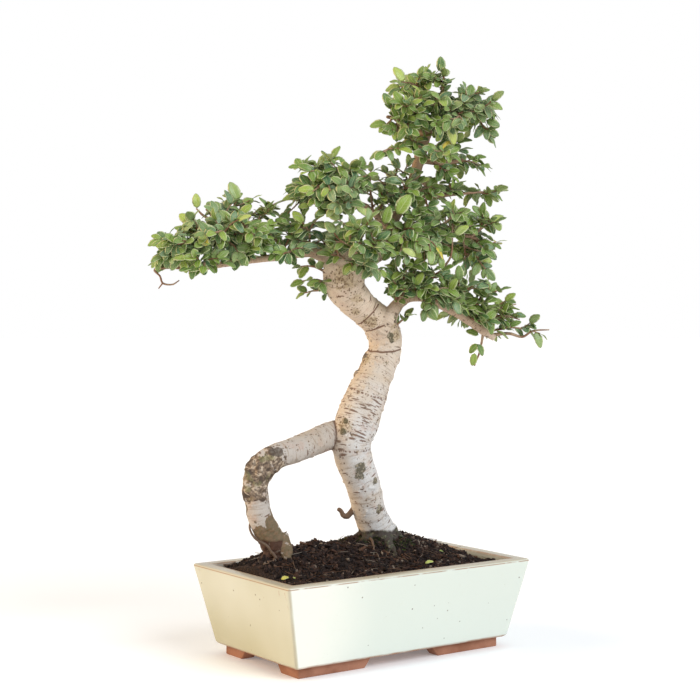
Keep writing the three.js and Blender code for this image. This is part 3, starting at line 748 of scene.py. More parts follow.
@dataclass(frozen=True, kw_only=True)
class PotFinish(Finish):
    """Pale glaze over the walls and rim, and bare clay under the pot."""

    name: str = "pale_glaze_on_clay"
    middle: Pair
    rim_half: Pair
    rim_height: float
    rim_band: float
    glaze_end: float
    taper: Pair
    glaze: Colour = (0.655, 0.695, 0.625)
    # Paler glaze: the front face turns to it towards its left as a painted highlight, and in random patches
    # elsewhere
    white: Colour = (0.79, 0.79, 0.715)
    # Painted warm light: the cream laid over the pot's left end
    painted_warm_cream: Colour = (0.44, 0.41, 0.255)
    rim_beige: Colour = (0.56, 0.49, 0.36)
    stain: Colour = (0.34, 0.30, 0.20)
    # Brown of the glaze breaks at the edges, also used for painted shade on the inner rim edge and a painted
    # dark reflection on the front-left corner
    edge_brown_and_painted_dark: Colour = (0.30, 0.13, 0.05)
    clay: Colour = (0.39, 0.18, 0.112)
    clay_dark: Colour = (0.24, 0.095, 0.05)
    grog: Colour = (0.55, 0.33, 0.20)
    mottle: Colour = (0.60, 0.60, 0.47)
    pit: Colour = (0.10, 0.055, 0.03)

    def draw(self, sheet: NodeSheet) -> Wire:
        """Draws the glaze with its painted highlight and painted warm light, the edges with their painted
        shade and painted dark reflection, the pinholes, the dirt inside the wall and the clay.
        """
        place = sheet.shift(sheet.place(), -self.middle[0], -self.middle[1], 0.0)
        x, y, z = sheet.parts(place)
        lean, front_lean = ((self.rim_height - z) * slope for slope in self.taper)
        left = (x + (self.rim_half[0] - lean)).rise(0.0028, 0.0012)
        wall = lean + self.rim_band
        depth = (abs(x) - (self.rim_half[0] - wall)).larger(abs(y) - (self.rim_half[1] - wall))
        inside = depth.below(self.rim_band / 2)
        dirt = inside * z.rise(self.rim_height - 0.0012, self.rim_height - 0.0035)
        dirt = dirt * sheet.noise(place, 55.0, 4.0).rise(0.30, 0.55)
        top = z.rise(self.rim_height - 0.0009, self.rim_height - 0.0002)
        # The front-left corner, whose thin brown line is partly a glaze break and partly a painted dark
        # reflection on its rounding
        corner = (y + (self.rim_half[1] - front_lean)).rise(0.0013, 0.0005) * left
        brown = self._edge_lines_and_painted_dark(sheet, place, z, 1 - inside, left, corner, abs(depth).rise(0.0034, 0.0014))
        hole = sheet.spots(place, 150.0, (0.12, 0.06), 0.10)
        speck = sheet.spots(sheet.shift(place, 0.31, 0.17, 0.23), 230.0, (0.16, 0.08), 0.05)
        glaze = sheet.layers(
            self._glaze_and_painted_light(sheet, place, x, z, left), (dirt * 0.75, self.stain),
            (top * (0.60 + 0.5 * sheet.noise(place, 40.0, 4.0)), self.rim_beige), (brown, self.edge_brown_and_painted_dark),
            ((hole * 0.7).larger(speck * 0.6), self.pit)
        )
        line = z + (sheet.noise(place, 90.0) - 0.5) * 0.0012
        bare = line.rise(self.glaze_end + 0.00025, self.glaze_end - 0.00025)
        height = (1 - hole) * 0.5 + sheet.noise(place, 210.0, 2.0) * 0.12
        height = height + bare * sheet.noise(place, 900.0) * 0.5
        rough = sheet.noise(place, 130.0) * 0.10 + 0.14 + bare * 0.62 + brown * 0.3 + dirt * 0.3
        return sheet.shader(sheet.mix(bare, glaze, self._clay_colour(sheet, place)), rough, height, 0.0002)

    def _glaze_and_painted_light(self, sheet: NodeSheet, place: Wire, x: Wire, z: Wire, left: Wire) -> Wire:
        """Draws the glaze from cool to white with faint mottling, the white towards the left of the front
        being a painted highlight, and the left end creamy from painted warm light.
        """
        slow = sheet.noise(place, 14.0, 2.0)
        # Painted highlight: the glaze whitens towards the left of the front face, with a random variation on
        # top
        tone = x.rise(-0.012, -0.100) * 0.95 + (slow - 0.5) * 0.35
        # Painted warm light: the left end turns creamy, more so towards the bottom
        painted_warm_light = left * (0.62 + (slow - 0.5) * 0.6 + z.rise(0.055, 0.015) * 0.25)
        mottled = sheet.noise(place, 320.0).rise(0.58, 0.80) * 0.12
        return sheet.layers(
            self.glaze, (tone.rise(0.0, 1.0), self.white), (painted_warm_light, self.painted_warm_cream), (mottled, self.mottle)
        )

    def _edge_lines_and_painted_dark(
        self, sheet: NodeSheet, place: Wire, z: Wire, outside: Wire, left: Wire, corner: Wire, inner: Wire
    ) -> Wire:
        """Draws the broken brown lines of the edges and a few runs under the rim, with painted shade along
        the inner rim edge and a painted dark reflection down the front-left corner.
        """
        broken = sheet.noise(place, 75.0, 4.0)
        line = z.rise(self.rim_height - 0.0019, self.rim_height - 0.0015)
        line = line * z.rise(self.rim_height - 0.0008, self.rim_height - 0.0012)
        line = line * (broken + left * 0.2).rise(0.36, 0.52) * outside
        foot = z.rise(self.glaze_end + 0.0017, self.glaze_end + 0.0006)
        foot = foot * (0.4 + 0.6 * broken.rise(0.35, 0.65)) * outside
        runs = sheet.noise(sheet.stretch(place, 1.0, 1.0, 0.35), 260.0, 3.0, 0.6).rise(0.67, 0.74)
        runs = runs * z.rise(self.rim_height - 0.020, self.rim_height - 0.003) * (0.1 + 0.9 * left)
        # Partly a glaze break and partly a painted dark reflection on the corner's rounding
        corner = corner * broken.rise(0.30, 0.55)
        # Painted shade along the inner rim edge, where the rim meets the soil
        inner = inner * z.rise(self.rim_height - 0.003, self.rim_height) * broken.rise(0.30, 0.50)
        return (line * 0.8).larger(runs * 0.7).larger(foot * 0.9).larger(corner * 0.2).larger(inner * 0.7)

    def _clay_colour(self, sheet: NodeSheet, place: Wire) -> Wire:
        """Draws the bare clay with its grog and scorching."""
        scorch = sheet.noise(place, 45.0).rise(0.35, 0.7)
        grog = sheet.noise(place, 1400.0, 2.0).rise(0.62, 0.75) * 0.45
        return sheet.layers(self.clay, (scorch, self.clay_dark), (grog, self.grog))


@dataclass(frozen=True)
class SoilFinish(Finish):
    """Damp dark soil."""

    name: str = "damp_soil"
    dark: Colour = (0.012, 0.0075, 0.006)
    light: Colour = (0.060, 0.034, 0.024)

    def draw(self, sheet: NodeSheet) -> Wire:
        """Draws the crumbly ground."""
        place = sheet.place()
        fine = sheet.noise(place, 700.0, 5.0)
        colour = sheet.mix(fine.rise(0.35, 0.75), self.dark, self.light)
        rough = sheet.noise(place, 400.0, 2.0) * 0.35 + 0.6
        return sheet.shader(colour, rough, fine * 0.6 + sheet.noise(place, 260.0), 0.0012, 0.2)


class Scatter(Enum):
    """What lies on the soil, with its colours from the lowest draw to the highest."""

    CRUMBS = (
        (0.0, (0.010, 0.006, 0.006)), (0.55, (0.022, 0.013, 0.011)), (0.82, (0.042, 0.022, 0.017)),
        (0.96, (0.085, 0.048, 0.034)), (0.992, (0.24, 0.19, 0.15))
    )
    CHIPS = (
        (0.0, (0.014, 0.008, 0.007)), (0.5, (0.034, 0.017, 0.013)), (0.8, (0.070, 0.032, 0.020)),
        (0.94, (0.13, 0.065, 0.038)), (0.99, (0.30, 0.24, 0.19))
    )
    FIBRES = (
        (0.0, (0.050, 0.022, 0.014)), (0.5, (0.14, 0.062, 0.034)), (0.8, (0.24, 0.16, 0.105)),
        (0.95, (0.34, 0.29, 0.24))
    )
    MOSS = (
        (0.0, (0.012, 0.020, 0.006)), (0.5, (0.030, 0.048, 0.012)), (0.85, (0.075, 0.105, 0.025)),
        (1.0, (0.13, 0.15, 0.05))
    )


@dataclass(frozen=True)
class LooseFinish(Finish):
    """One kind of loose pieces, each with a colour from its tone."""

    kind: Scatter = Scatter.CRUMBS
    grain: Colour = (0.35, 0.30, 0.26)

    def draw(self, sheet: NodeSheet) -> Wire:
        """Draws the pieces' tones and their grain."""
        colour = sheet.add("ShaderNodeValToRGB", {0: sheet.attribute("tone")}, "Color", stops=self.kind.value)
        grain = sheet.noise(sheet.place(), 900.0)
        shaded = sheet.mix(grain.rise(0.3, 0.7) * 0.45, colour, self.grain, "MULTIPLY")
        return sheet.shader(shaded, grain * 0.3 + 0.6, grain, 0.0004, 0.22)


@dataclass(frozen=True)
class BarkFinish(Finish):
    """Pale elm bark with dashes, scars and lichen, brown on thin wood."""

    name: str = "elm_bark"
    pale: Colour = (0.60, 0.585, 0.575)
    tan: Colour = (0.50, 0.40, 0.30)
    rosy: Colour = (0.64, 0.49, 0.35)
    # Dark brown, in patches on thin wood, and laid on the wood up in the crown as painted shade of the leaves
    high: Colour = (0.25, 0.15, 0.10)
    grey: Colour = (0.43, 0.36, 0.30)
    thin_wood: Colour = (0.33, 0.20, 0.13)
    dash_brown: Colour = (0.14, 0.070, 0.040)
    scar_brown: Colour = (0.13, 0.055, 0.03)
    callus_dark: Colour = (0.085, 0.060, 0.045)
    callus_mid: Colour = (0.23, 0.165, 0.115)
    callus_pale: Colour = (0.50, 0.40, 0.30)
    lichen_dark: Colour = (0.085, 0.072, 0.040)
    lichen_pale: Colour = (0.30, 0.255, 0.18)
    olive_tone: Colour = (0.125, 0.088, 0.038)
    # Dark damp wood near the soil, darkened further as painted shade at the trunk's foot
    rooty_and_shade: Colour = (0.034, 0.023, 0.016)
    mossy: Colour = (0.042, 0.052, 0.017)
    shaded_wood: Colour = (0.10, 0.066, 0.045)
    damp_leg: Colour = (0.075, 0.034, 0.022)
    grit: Colour = (0.24, 0.19, 0.15)
    blotch_tan: Colour = (0.40, 0.30, 0.16)
    blotch_dark: Colour = (0.16, 0.10, 0.05)
    dot_brown: Colour = (0.13, 0.075, 0.040)
    oval_pale: Colour = (0.17, 0.145, 0.12)
    olive_rust: Colour = (0.18, 0.105, 0.05)
    # Painted warm light on the trunk's left side
    painted_warm_light_tan: Colour = (0.62, 0.48, 0.345)
    branch_tan: Colour = (0.46, 0.31, 0.205)
    streak_brown: Colour = (0.27, 0.19, 0.13)
    blush: Colour = (0.50, 0.32, 0.24)
    fleck: Colour = (0.27, 0.20, 0.145)
    callus_green: Colour = (0.20, 0.19, 0.09)

    def draw(self, sheet: NodeSheet) -> Wire:
        """Draws the bark along its stem, with what the marks add."""
        place = sheet.place()
        z = sheet.parts(place)[2]
        grain = sheet.attribute("grain", "Vector")
        girth, crowd = sheet.attribute("girth"), sheet.attribute("mottle")
        thin = girth.rise(0.20, 0.08).larger(girth.rise(0.30, 0.20) * z.rise(0.15, 0.12))
        bands = sheet.noise(sheet.stretch(grain, 28.0, 28.0, 260.0), 1.0, 4.0)
        fine, ragged, rough = (sheet.noise(place, scale, 4.0) for scale in (500.0, 210.0, 330.0))
        wild, rag = fine - 0.5, ragged - 0.5
        brown = sheet.layers(
            self.thin_wood, (fine.rise(0.4, 0.7), self.high), (z.rise(0.20, 0.12) * 0.7, self.shaded_wood)
        )
        dash = self._dashes(sheet, grain) * (1 - thin)
        dots = sheet.spots(place, 620.0, (0.55, 0.30), 0.05, crowd * 0.40)
        edge = (sheet.attribute("elbow") + rag * 2.2 + wild * 0.8).rise(0.28, 0.50)
        oval = (sheet.attribute("oval") + rag * 0.5).rise(0.35, 0.50)
        lichen = (sheet.attribute("lichen") + rag * 2.0 + wild).rise(0.44, 0.80)
        scar = self._cut_line(sheet, grain).larger(sheet.attribute("crease"))
        # Damp, mossy wood near the soil, partly painted shade at the trunk's foot
        damp = (sheet.attribute("damp") + rag * 0.9).rise(0.30, 0.62)
        leg = sheet.attribute("leg")
        wet_and_shaded = sheet.layers(
            self.rooty_and_shade, (leg, self.damp_leg), (rough.rise(0.50, 0.60) * (1 - leg), self.mossy),
            (rough.rise(0.57, 0.66) * 0.6, self.grit)
        )
        colour = sheet.layers(
            self._bark_and_painted_light(sheet, place, grain, z, bands, girth), (thin, brown),
            (dash * 0.85, self.dash_brown), ((crowd + rag * 1.6).rise(0.45, 0.95) * 0.55, self.blotch_tan),
            ((crowd + wild * 2.2).rise(0.90, 1.25) * 0.75, self.blotch_dark), (dots * 0.85, self.dot_brown),
            (edge, self._callus(sheet, place, fine)),
            (oval * 0.9, sheet.mix(fine.rise(0.4, 0.7), self.callus_dark, self.oval_pale)),
            (lichen * 0.9, sheet.mix(fine.rise(0.50, 0.62), self.lichen_dark, self.lichen_pale)),
            (
                (sheet.attribute("olive") + rag * 1.6).rise(0.44, 0.56) * 0.9,
                sheet.mix(fine.rise(0.45, 0.60), self.olive_tone, self.olive_rust)
            ),
            (scar * 0.85, self.scar_brown), (damp * 0.95, wet_and_shaded)
        )
        height = bands * 0.25 + dash * 0.35 + lichen * 0.5 * fine + sheet.noise(place, 700.0, 4.0) * 0.2
        return sheet.shader(colour, ragged * 0.22 + 0.62, height - scar * 0.5, 0.0005, 0.25)

    def _bark_and_painted_light(
        self, sheet: NodeSheet, place: Wire, grain: Wire, z: Wire, bands: Wire, girth: Wire
    ) -> Wire:
        """Draws the bark: pale with tan, rosier and then browner with height, the brown in the crown being
        painted shade of the leaves, and the trunk's left side warmer from painted warm light.
        """
        branch = girth.rise(0.52, 0.26) * z.rise(0.23, 0.24)
        streak = sheet.noise(sheet.stretch(grain, 75.0, 75.0, 900.0), 1.0).rise(0.54, 0.68)
        return sheet.layers(
            self.pale, (sheet.noise(grain, 38.0).rise(0.44, 0.74) * 0.8, self.tan),
            (bands.rise(0.48, 0.78) * 0.4, self.tan), (z.rise(0.145, 0.262) * 0.8, self.rosy),
            # Painted shade: the wood in the crown, under the leaves, turns dark brown
            # Painted warm light on the trunk's side facing left
            (sheet.attribute("warm") * 0.5, self.painted_warm_light_tan), (z.rise(0.30, 0.35) * 0.85, self.high),
            (sheet.attribute("leg") * 0.65, self.grey), (branch * 0.7, self.branch_tan),
            (streak * 0.5, self.streak_brown),
            (sheet.noise(place, 130.0).rise(0.52, 0.72) * 0.35, self.blush),
            (sheet.noise(place, 1250.0).rise(0.55, 0.68) * 0.45, self.fleck)
        )

    def _callus(self, sheet: NodeSheet, place: Wire, fine: Wire) -> Wire:
        """Draws the patches of the knobbly old wound."""
        patch = sheet.noise(sheet.shift(place, 0.2, 0.1, 0.3), 170.0, 4.0, 0.8)
        return sheet.layers(
            self.callus_dark, (patch.rise(0.40, 0.50), self.callus_mid),
            (patch.rise(0.53, 0.60), self.callus_pale),
            (sheet.noise(place, 95.0).rise(0.56, 0.66) * 0.6, self.callus_green),
            (fine.rise(0.50, 0.60) * 0.7, self.callus_dark)
        )

    def _cut_line(self, sheet: NodeSheet, grain: Wire) -> Wire:
        """Draws the thin cuts and the rows of dots from the distances to them."""
        cut = abs(sheet.attribute("cut")).rise(0.00080, 0.00030)
        broken = sheet.noise(sheet.stretch(grain, 700.0, 700.0, 60.0), 1.0, 1.0).rise(0.46, 0.56)
        return cut.larger(abs(sheet.attribute("dotted")).rise(0.00090, 0.00040) * broken * 0.9)

    def _dashes(self, sheet: NodeSheet, grain: Wire) -> Wire:
        """Draws the brown dashes round the stem, most where their mark is high."""
        crowd = sheet.attribute("dashes")
        long_dash = sheet.spots(
            sheet.stretch(grain, 95.0, 95.0, 560.0), 1.0, (0.40, 0.24), 0.13, crowd * 0.72
        )
        short_dash = sheet.spots(
            sheet.stretch(grain, 300.0, 300.0, 900.0), 1.0, (0.38, 0.26), 0.12, crowd * 0.3
        )
        return long_dash.larger(short_dash * 0.8)


@dataclass(frozen=True)
class TwigFinish(Finish):
    """Thin red-brown to grey-brown twigs."""

    name: str = "twig_bark"
    young: Colour = (0.25, 0.125, 0.065)
    old: Colour = (0.40, 0.27, 0.175)
    fleck: Colour = (0.10, 0.055, 0.035)
    # Painted shade: dark brown of the twigs near the soil
    low: Colour = (0.085, 0.052, 0.034)

    def draw(self, sheet: NodeSheet) -> Wire:
        """Draws the twigs, older in patches, and darker near the soil as painted shade."""
        place = sheet.place()
        fine = sheet.noise(place, 1100.0)
        colour = sheet.layers(
            self.young, (sheet.noise(place, 120.0).rise(0.42, 0.60), self.old),
            (fine.rise(0.54, 0.68) * 0.6, self.fleck),
            # Painted shade: twigs low down are darkened
            (sheet.parts(place)[2].rise(0.13, 0.09) * 0.8, self.low)
        )
        return sheet.shader(colour, fine * 0.2 + 0.55, fine, 0.0003)


@dataclass(frozen=True)
class LeafFinish(Finish):
    """Glossy leaves with pale veins and margins, each with its own green."""

    name: str = "elm_leaf"
    tints: tuple[tuple[float, Colour], ...] = (
        (0.00, (0.040, 0.135, 0.075)), (0.16, (0.060, 0.160, 0.060)), (0.34, (0.105, 0.205, 0.032)),
        (0.55, (0.170, 0.280, 0.030)), (0.80, (0.330, 0.440, 0.060)), (0.97, (0.540, 0.610, 0.140)),
        (1.00, (0.740, 0.560, 0.050))
    )
    margin: Colour = (0.70, 0.73, 0.40)
    underside: Colour = (0.30, 0.38, 0.15)
    bluish: Colour = (0.23, 0.33, 0.22)
    yellowish: Colour = (0.31, 0.41, 0.13)

    def draw(self, sheet: NodeSheet) -> Wire:
        """Draws the blade, its veins, its margin and its paler underside."""
        across, under = abs(sheet.attribute("across")), sheet.attribute("under")
        blotch = sheet.noise(sheet.place(), 260.0)
        side = ((sheet.attribute("along") - across * 0.22) * 44.0).sine().rise(0.80, 0.98)
        vein = across.rise(0.10, 0.03).larger(side * 0.6)
        edge = (across + (blotch - 0.5) * 0.10).rise(0.72, 0.84)
        colour = sheet.layers(
            sheet.add("ShaderNodeValToRGB", {0: sheet.attribute("tint")}, "Color", stops=self.tints),
            (sheet.noise(sheet.place(), 24.0).rise(0.48, 0.62) * 0.45, self.bluish),
            (blotch.rise(0.38, 0.70) * 0.34, self.yellowish), (vein * 0.30, self.margin),
            (under * 0.55, self.underside), (edge * 0.9, self.margin)
        )
        return sheet.shader(colour, under * 0.25 + blotch * 0.12 + 0.28, vein * -0.5 + blotch * 0.3, 0.0003)


@dataclass(frozen=True)
class WhiteFloorFinish(Finish):
    """A white floor with a slight glow."""

    name: str = "white_floor"
    white: Colour = (0.90, 0.90, 0.91)
    glow: float = 0.17

    def draw(self, sheet: NodeSheet) -> Wire:
        """Draws the plain floor."""
        glow = {"Emission Color": (1.0, 1.0, 1.0), "Emission Strength": self.glow}
        return sheet.add("ShaderNodeBsdfPrincipled", {"Base Color": self.white, "Roughness": 0.8, **glow})


@dataclass(frozen=True)
class ScreenFinish(Finish):
    """Dark plastic mesh with a little grain."""

    name: str = "screen_plastic"
    light: Colour = (0.06, 0.06, 0.055)
    dark: Colour = (0.036, 0.036, 0.033)

    def draw(self, sheet: NodeSheet) -> Wire:
        """Draws the plastic and its grain."""
        grain = sheet.noise(sheet.place(), 600.0)
        colour = sheet.mix(grain.rise(0.3, 0.7), self.dark, self.light)
        return sheet.shader(colour, grain * 0.2 + 0.45, grain, 0.0002)


# Points round a corner of a rounded rectangle, and the step along its sides
CORNER_POINTS = 7
SIDE_STEP = 0.006


def rounded_ring(size: Sequence[float], z: float, radius: float, guide: Sequence[float]) -> Array:
    """Gives one level of a rectangle with rounded corners.

    Args:
        size: Length and width.
        z: Height.
        radius: Radius of the corners.
        guide: Length and width that the steps along the sides are counted for.

    Returns:
        Rows of X, Y and Z, counter-clockwise from the right end's back corner.
    """
    signs = np.array([(1, 1), (-1, 1), (-1, -1), (1, -1)])
    turns = math.pi / 2 * (np.arange(4)[:, None] + np.linspace(0, 1, CORNER_POINTS))
    spokes = np.stack([np.cos(turns), np.sin(turns)], -1)
    arcs = (np.array(size) / 2 - radius) * signs[:, None] + radius * spokes
    rows = []
    for corner, arc in enumerate(arcs):
        count = max(2, round(guide[corner % 2] / SIDE_STEP))
        steps = np.arange(1, count)[:, None] / count
        rows += [arc, arc[-1] + (arcs[(corner + 1) % 4][0] - arc[-1]) * steps]
    flat = np.vstack(rows)
    return np.column_stack([flat, np.full(len(flat), z)])


@dataclass
class Pot:
    """The rectangular glazed pot with its corner feet and drainage holes."""

    base: Pair = (0.192, 0.108)
    foot_height: float = 0.0075
    rim_band: float = 0.011
    floor: Pair = (0.170, 0.088)
    floor_top: float = 0.015
    corner_radius: float = 0.0017
    rim_round: float = 0.0013
    base_round: float = 0.0028
    feet: Pair = (0.181, 0.097)
    arms: Pair = (0.063, 0.028)
    end_slope: float = 0.006
    foot_thickness: float = 0.011
    foot_sunk: float = 0.0015
    foot_round: float = 0.0011
    glaze_over_feet: float = 0.0006
    drain_radius: float = 0.007
    drain_offset: float = 0.046
    drain_reach: Pair = (0.002, 0.019)
    drain_sides: int = 28
    warp: float = 0.0004
    rim_warp: float = 0.00016
    round_levels: int = 6
    outside_levels: int = 17
    inside_levels: int = 8
    sharp_degrees: float = 32.0
    seed: int = 5

    def __post_init__(self) -> None:
        """Takes the rim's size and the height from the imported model."""
        low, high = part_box("pot")
        self.rim = np.array([high.x - low.x, high.y - low.y])
        self.height = high.z

    def size_at(self, z: float) -> Array:
        """Gives the outside's length and width at a height."""
        return self.base + (self.rim - self.base) * (z - self.foot_height) / (self.height - self.foot_height)

    def inside_at(self, z: float) -> Array:
        """Gives the inside's length and width at a height."""
        top = self.rim - 2 * self.rim_band
        return self.floor + (top - self.floor) * (z - self.floor_top) / (self.height - self.floor_top)

    def _profile(self) -> Iterator[tuple[Array, float]]:
        """Gives the wall's levels as size and height, from the underside over the rim to the floor."""
        turns = np.linspace(0, math.pi / 2, self.round_levels)
        low, high = self.foot_height + self.base_round, self.height - self.rim_round
        for turn in turns:
            z = low - self.base_round * math.cos(turn)
            yield self.size_at(z) - 2 * self.base_round * (1 - math.sin(turn)), z
        for z in np.linspace(low, high, self.outside_levels)[1:-1]:
            yield self.size_at(z), z
        for turn in turns:
            inset = 2 * self.rim_round * (1 - math.cos(turn))
            yield self.size_at(high) - inset, high + self.rim_round * math.sin(turn)
        outer, inner = self.rim - 2 * self.rim_round, self.inside_at(self.height)
        for share in (0.33, 0.66):
            yield outer + (inner - outer) * share, self.height
        for turn in turns:
            outset = 2 * self.rim_round * (1 - math.sin(turn))
            yield inner + outset, high + self.rim_round * math.cos(turn)
        for z in np.linspace(high, self.floor_top, self.inside_levels)[1:]:
            yield self.inside_at(z), z

    def _body(self) -> Piece:
        """Builds the walls, the rim and the floor."""
        rings = [rounded_ring(size, z, self.corner_radius, self.rim) for size, z in self._profile()]
        points, count = np.vstack(rings), len(rings[0])
        wave = lattice_noise(points, 0.055, self.seed) + 0.25 * lattice_noise(points, 0.016, self.seed + 1)
        points = points + unit(points * [*self.rim**-2, 0.0]) * (self.warp * wave)[:, None]
        wave = lattice_noise(points, 0.07, self.seed + 2)
        points[:, 2] += self.rim_warp * wave * smooth(points[:, 2], 0.02, 0.06)
        ends = [range(count - 1, -1, -1), range(len(points) - count, len(points))]
        return Draft().add(points, [*ring_faces(count, len(rings)), *ends]).object("pot_glazed")

    def _foot(self, sx: int, sy: int) -> Piece:
        """Builds one L-shaped corner foot, whose free ends slope in towards the floor."""
        (x, y), t = np.array(self.feet) / 2, self.foot_thickness
        rows = []
        levels = ((0.0, self.end_slope), (self.foot_height, 0.0), (self.foot_height + self.foot_sunk, 0.0))
        for z, slope in levels:
            end_x, end_y = x - self.arms[0] + slope, y - self.arms[1] + slope
            outline = [(x, y), (end_x, y), (end_x, y - t), (x - t, y - t), (x - t, end_y), (x, end_y)]
            rows += [(sx * across, sy * deep, z) for across, deep in outline]
        faces = [range(5, -1, -1), range(12, 18), *ring_faces(6, 3)]
        foot = Draft().add(rows, [face[:: sx * sy] for face in faces]).object("foot")
        return settle(modify(foot, "BEVEL", width=self.foot_round, segments=3, limit_method="ANGLE"))

    def _drain(self, side: int) -> Piece:
        """Builds the cutter of one drainage hole."""
        path = np.array([(side * self.drain_offset, 0, z) for z in self.drain_reach])
        line = Spline(path, [self.drain_radius] * 2)
        return Draft().tube(line, 2, self.drain_sides, 0.0).object("drain_cutter")

    def build(self) -> Piece:
        """Builds the pot with its feet and holes, and dresses it."""
        pot = self._body()
        feet = [self._foot(sx, sy) for sx in (-1, 1) for sy in (-1, 1)]
        drains = [self._drain(side) for side in (-1, 1)]
        for operation, tools in (("UNION", feet), ("DIFFERENCE", drains)):
            group = hidden_collection("tools", tools)
            bpy.context.scene.collection.children.link(group)
            settings = {"operation": operation, "operand_type": "COLLECTION", "collection": group}
            settle(modify(pot, "BOOLEAN", **settings, solver="EXACT"))
            drop_collection(group)
        pot.data.transform(Matrix.Translation(Vector(VIEW.middle)))
        slopes = (self.rim - self.base) / 2 / (self.height - self.foot_height)
        finish = PotFinish(
            middle=tuple(VIEW.middle[:2]), rim_half=tuple(self.rim / 2), rim_height=self.height,
            rim_band=self.rim_band, glaze_end=self.foot_height + self.glaze_over_feet,
            taper=tuple(round(float(slope), 4) for slope in slopes)
        )
        return finish.dress(pot, self.sharp_degrees)


@dataclass
class Soil:
    """The mound of soil."""

    pot: Pot
    edge_drop: float = 0.004
    crown: float = 0.0185
    crown_middle: Pair = (-0.008, 0.008)
    crown_reach: Pair = (0.100, 0.031)
    hump: float = 0.005
    hump_reach: float = 0.020
    hump_place: Pair = (17.0, 20.0)
    lumps: tuple[Pair, ...] = ((0.0016, 0.015), (0.0011, 0.0065), (0.0008, 0.0028))
    cell: float = 0.0013
    slack: float = 0.0009
    floor_gap: float = 0.0003
    strand_places: int = 9
    strand_wander: float = 2.4
    strand_thinning: float = 0.6
    seed: int = 77

    def ridge(self, local: Array) -> Array:
        """Gives the mound's smooth height at places measured from the pot's middle."""
        along, across = ((local[:, :2] - self.crown_middle) / self.crown_reach).T
        crown = self.crown * np.maximum(0, 1 - along**4) * np.exp(-(across**2))
        middle = VIEW.place([(*self.hump_place, 0.0)])[0] - VIEW.middle
        far = np.linalg.norm((local - middle)[:, :2], axis=1) / self.hump_reach
        return self.pot.height - self.edge_drop + crown + self.hump * np.exp(-(far**2))

    def height(self, local: Array) -> Array:
        """Gives the mound's lumpy height at places measured from the pot's middle."""
        flat = local * [1, 1, 0]
        return self.ridge(flat) + sum(
            size * lattice_noise(flat, cell, self.seed + step) for step, (size, cell) in enumerate(self.lumps)
        )

    def _grid(self, share: float) -> tuple[Array, Array, Array]:
        """Gives the points, faces and grid of numbers for a share of the top."""
        size = share * (self.pot.inside_at(self.pot.height - self.edge_drop) - self.slack)
        x, y = np.meshgrid(*(np.linspace(-side / 2, side / 2, round(side / self.cell)) for side in size))
        local = np.column_stack([x.ravel(), y.ravel(), 0 * x.ravel()])
        local[:, 2] = self.height(local)
        grid = np.arange(x.size).reshape(x.shape)
        faces = np.stack([grid[:-1, :-1], grid[:-1, 1:], grid[1:, 1:], grid[1:, :-1]], -1).reshape(-1, 4)
        return local + VIEW.middle, faces, grid

    def mound(self) -> Piece:
        """Builds the closed mound, down to the pot's floor."""
        points, faces, grid = self._grid(1.0)
        border = [*grid[0], *grid[1:, -1], *grid[-1, -2::-1], *grid[-2:0:-1, 0]]
        edge, floor = self.pot.height - self.edge_drop, self.pot.floor_top + self.floor_gap
        shrink = (self.pot.inside_at(floor) - self.slack) / (self.pot.inside_at(edge) - self.slack)
        foot = (points[border] - VIEW.middle) * [*shrink, 0.0] + VIEW.middle + [0, 0, floor]
        start, count = len(points), len(border)
        sides = [(border[i], border[i - 1], start + (i - 1) % count, start + i) for i in range(count)]
        under = range(start + count - 1, start - 1, -1)
        mound = Draft().add(np.vstack([points, foot]), [*faces, *sides, under]).object("soil_mound")
        return SoilFinish().dress(mound)

    def ground(self, name: str, share: float, marks: Sequence[Row] = ()) -> Piece:
        """Builds the open top that loose pieces are strewn on.

        Args:
            name: Name of the object.
            share: Share of the top's length and width.
            marks: Across, away and reach of the only places that it covers, if any.

        Returns:
            The top, whose mesh the loose pieces replace.
        """
        points, faces, _ = self._grid(share)
        near = np.full(len(points), not marks)
        for across, away, reach in marks:
            local = points - VIEW.place([(across, away, 0.0)])[0]
            near |= np.hypot(local[:, 0], local[:, 1]) < reach * MM
        return Draft().add(points, faces[near[faces[:, 0]]]).object(name)

    def strand(self, start: Sequence[float], end: Sequence[float], radius: float, seed: int) -> Spline:
        """Lays a thin root over the top.

        Args:
            start: Across and away of its first end.
            end: Across and away of its other end.
            radius: Its radius at the start, in millimetres.
            seed: Number that picks its bends.

        Returns:
            The root's curve.
        """
        rng = Random(seed)
        share = np.linspace(0, 1, self.strand_places)[:, None]
        rows = np.array([start]) * (1 - share) + np.array([end]) * share
        rows = rows + [[self.strand_wander * (rng.random() - 0.5) for _ in range(2)] for _ in share]
        points = VIEW.place(np.column_stack([rows, np.zeros(len(rows))]))
        lift = [radius * MM * (0.3 + 1.6 * rng.random()) for _ in share]
        points[:, 2] = self.height(points - VIEW.middle) + lift
        return Spline(points, radius * MM * (1 - self.strand_thinning * share[:, 0]))


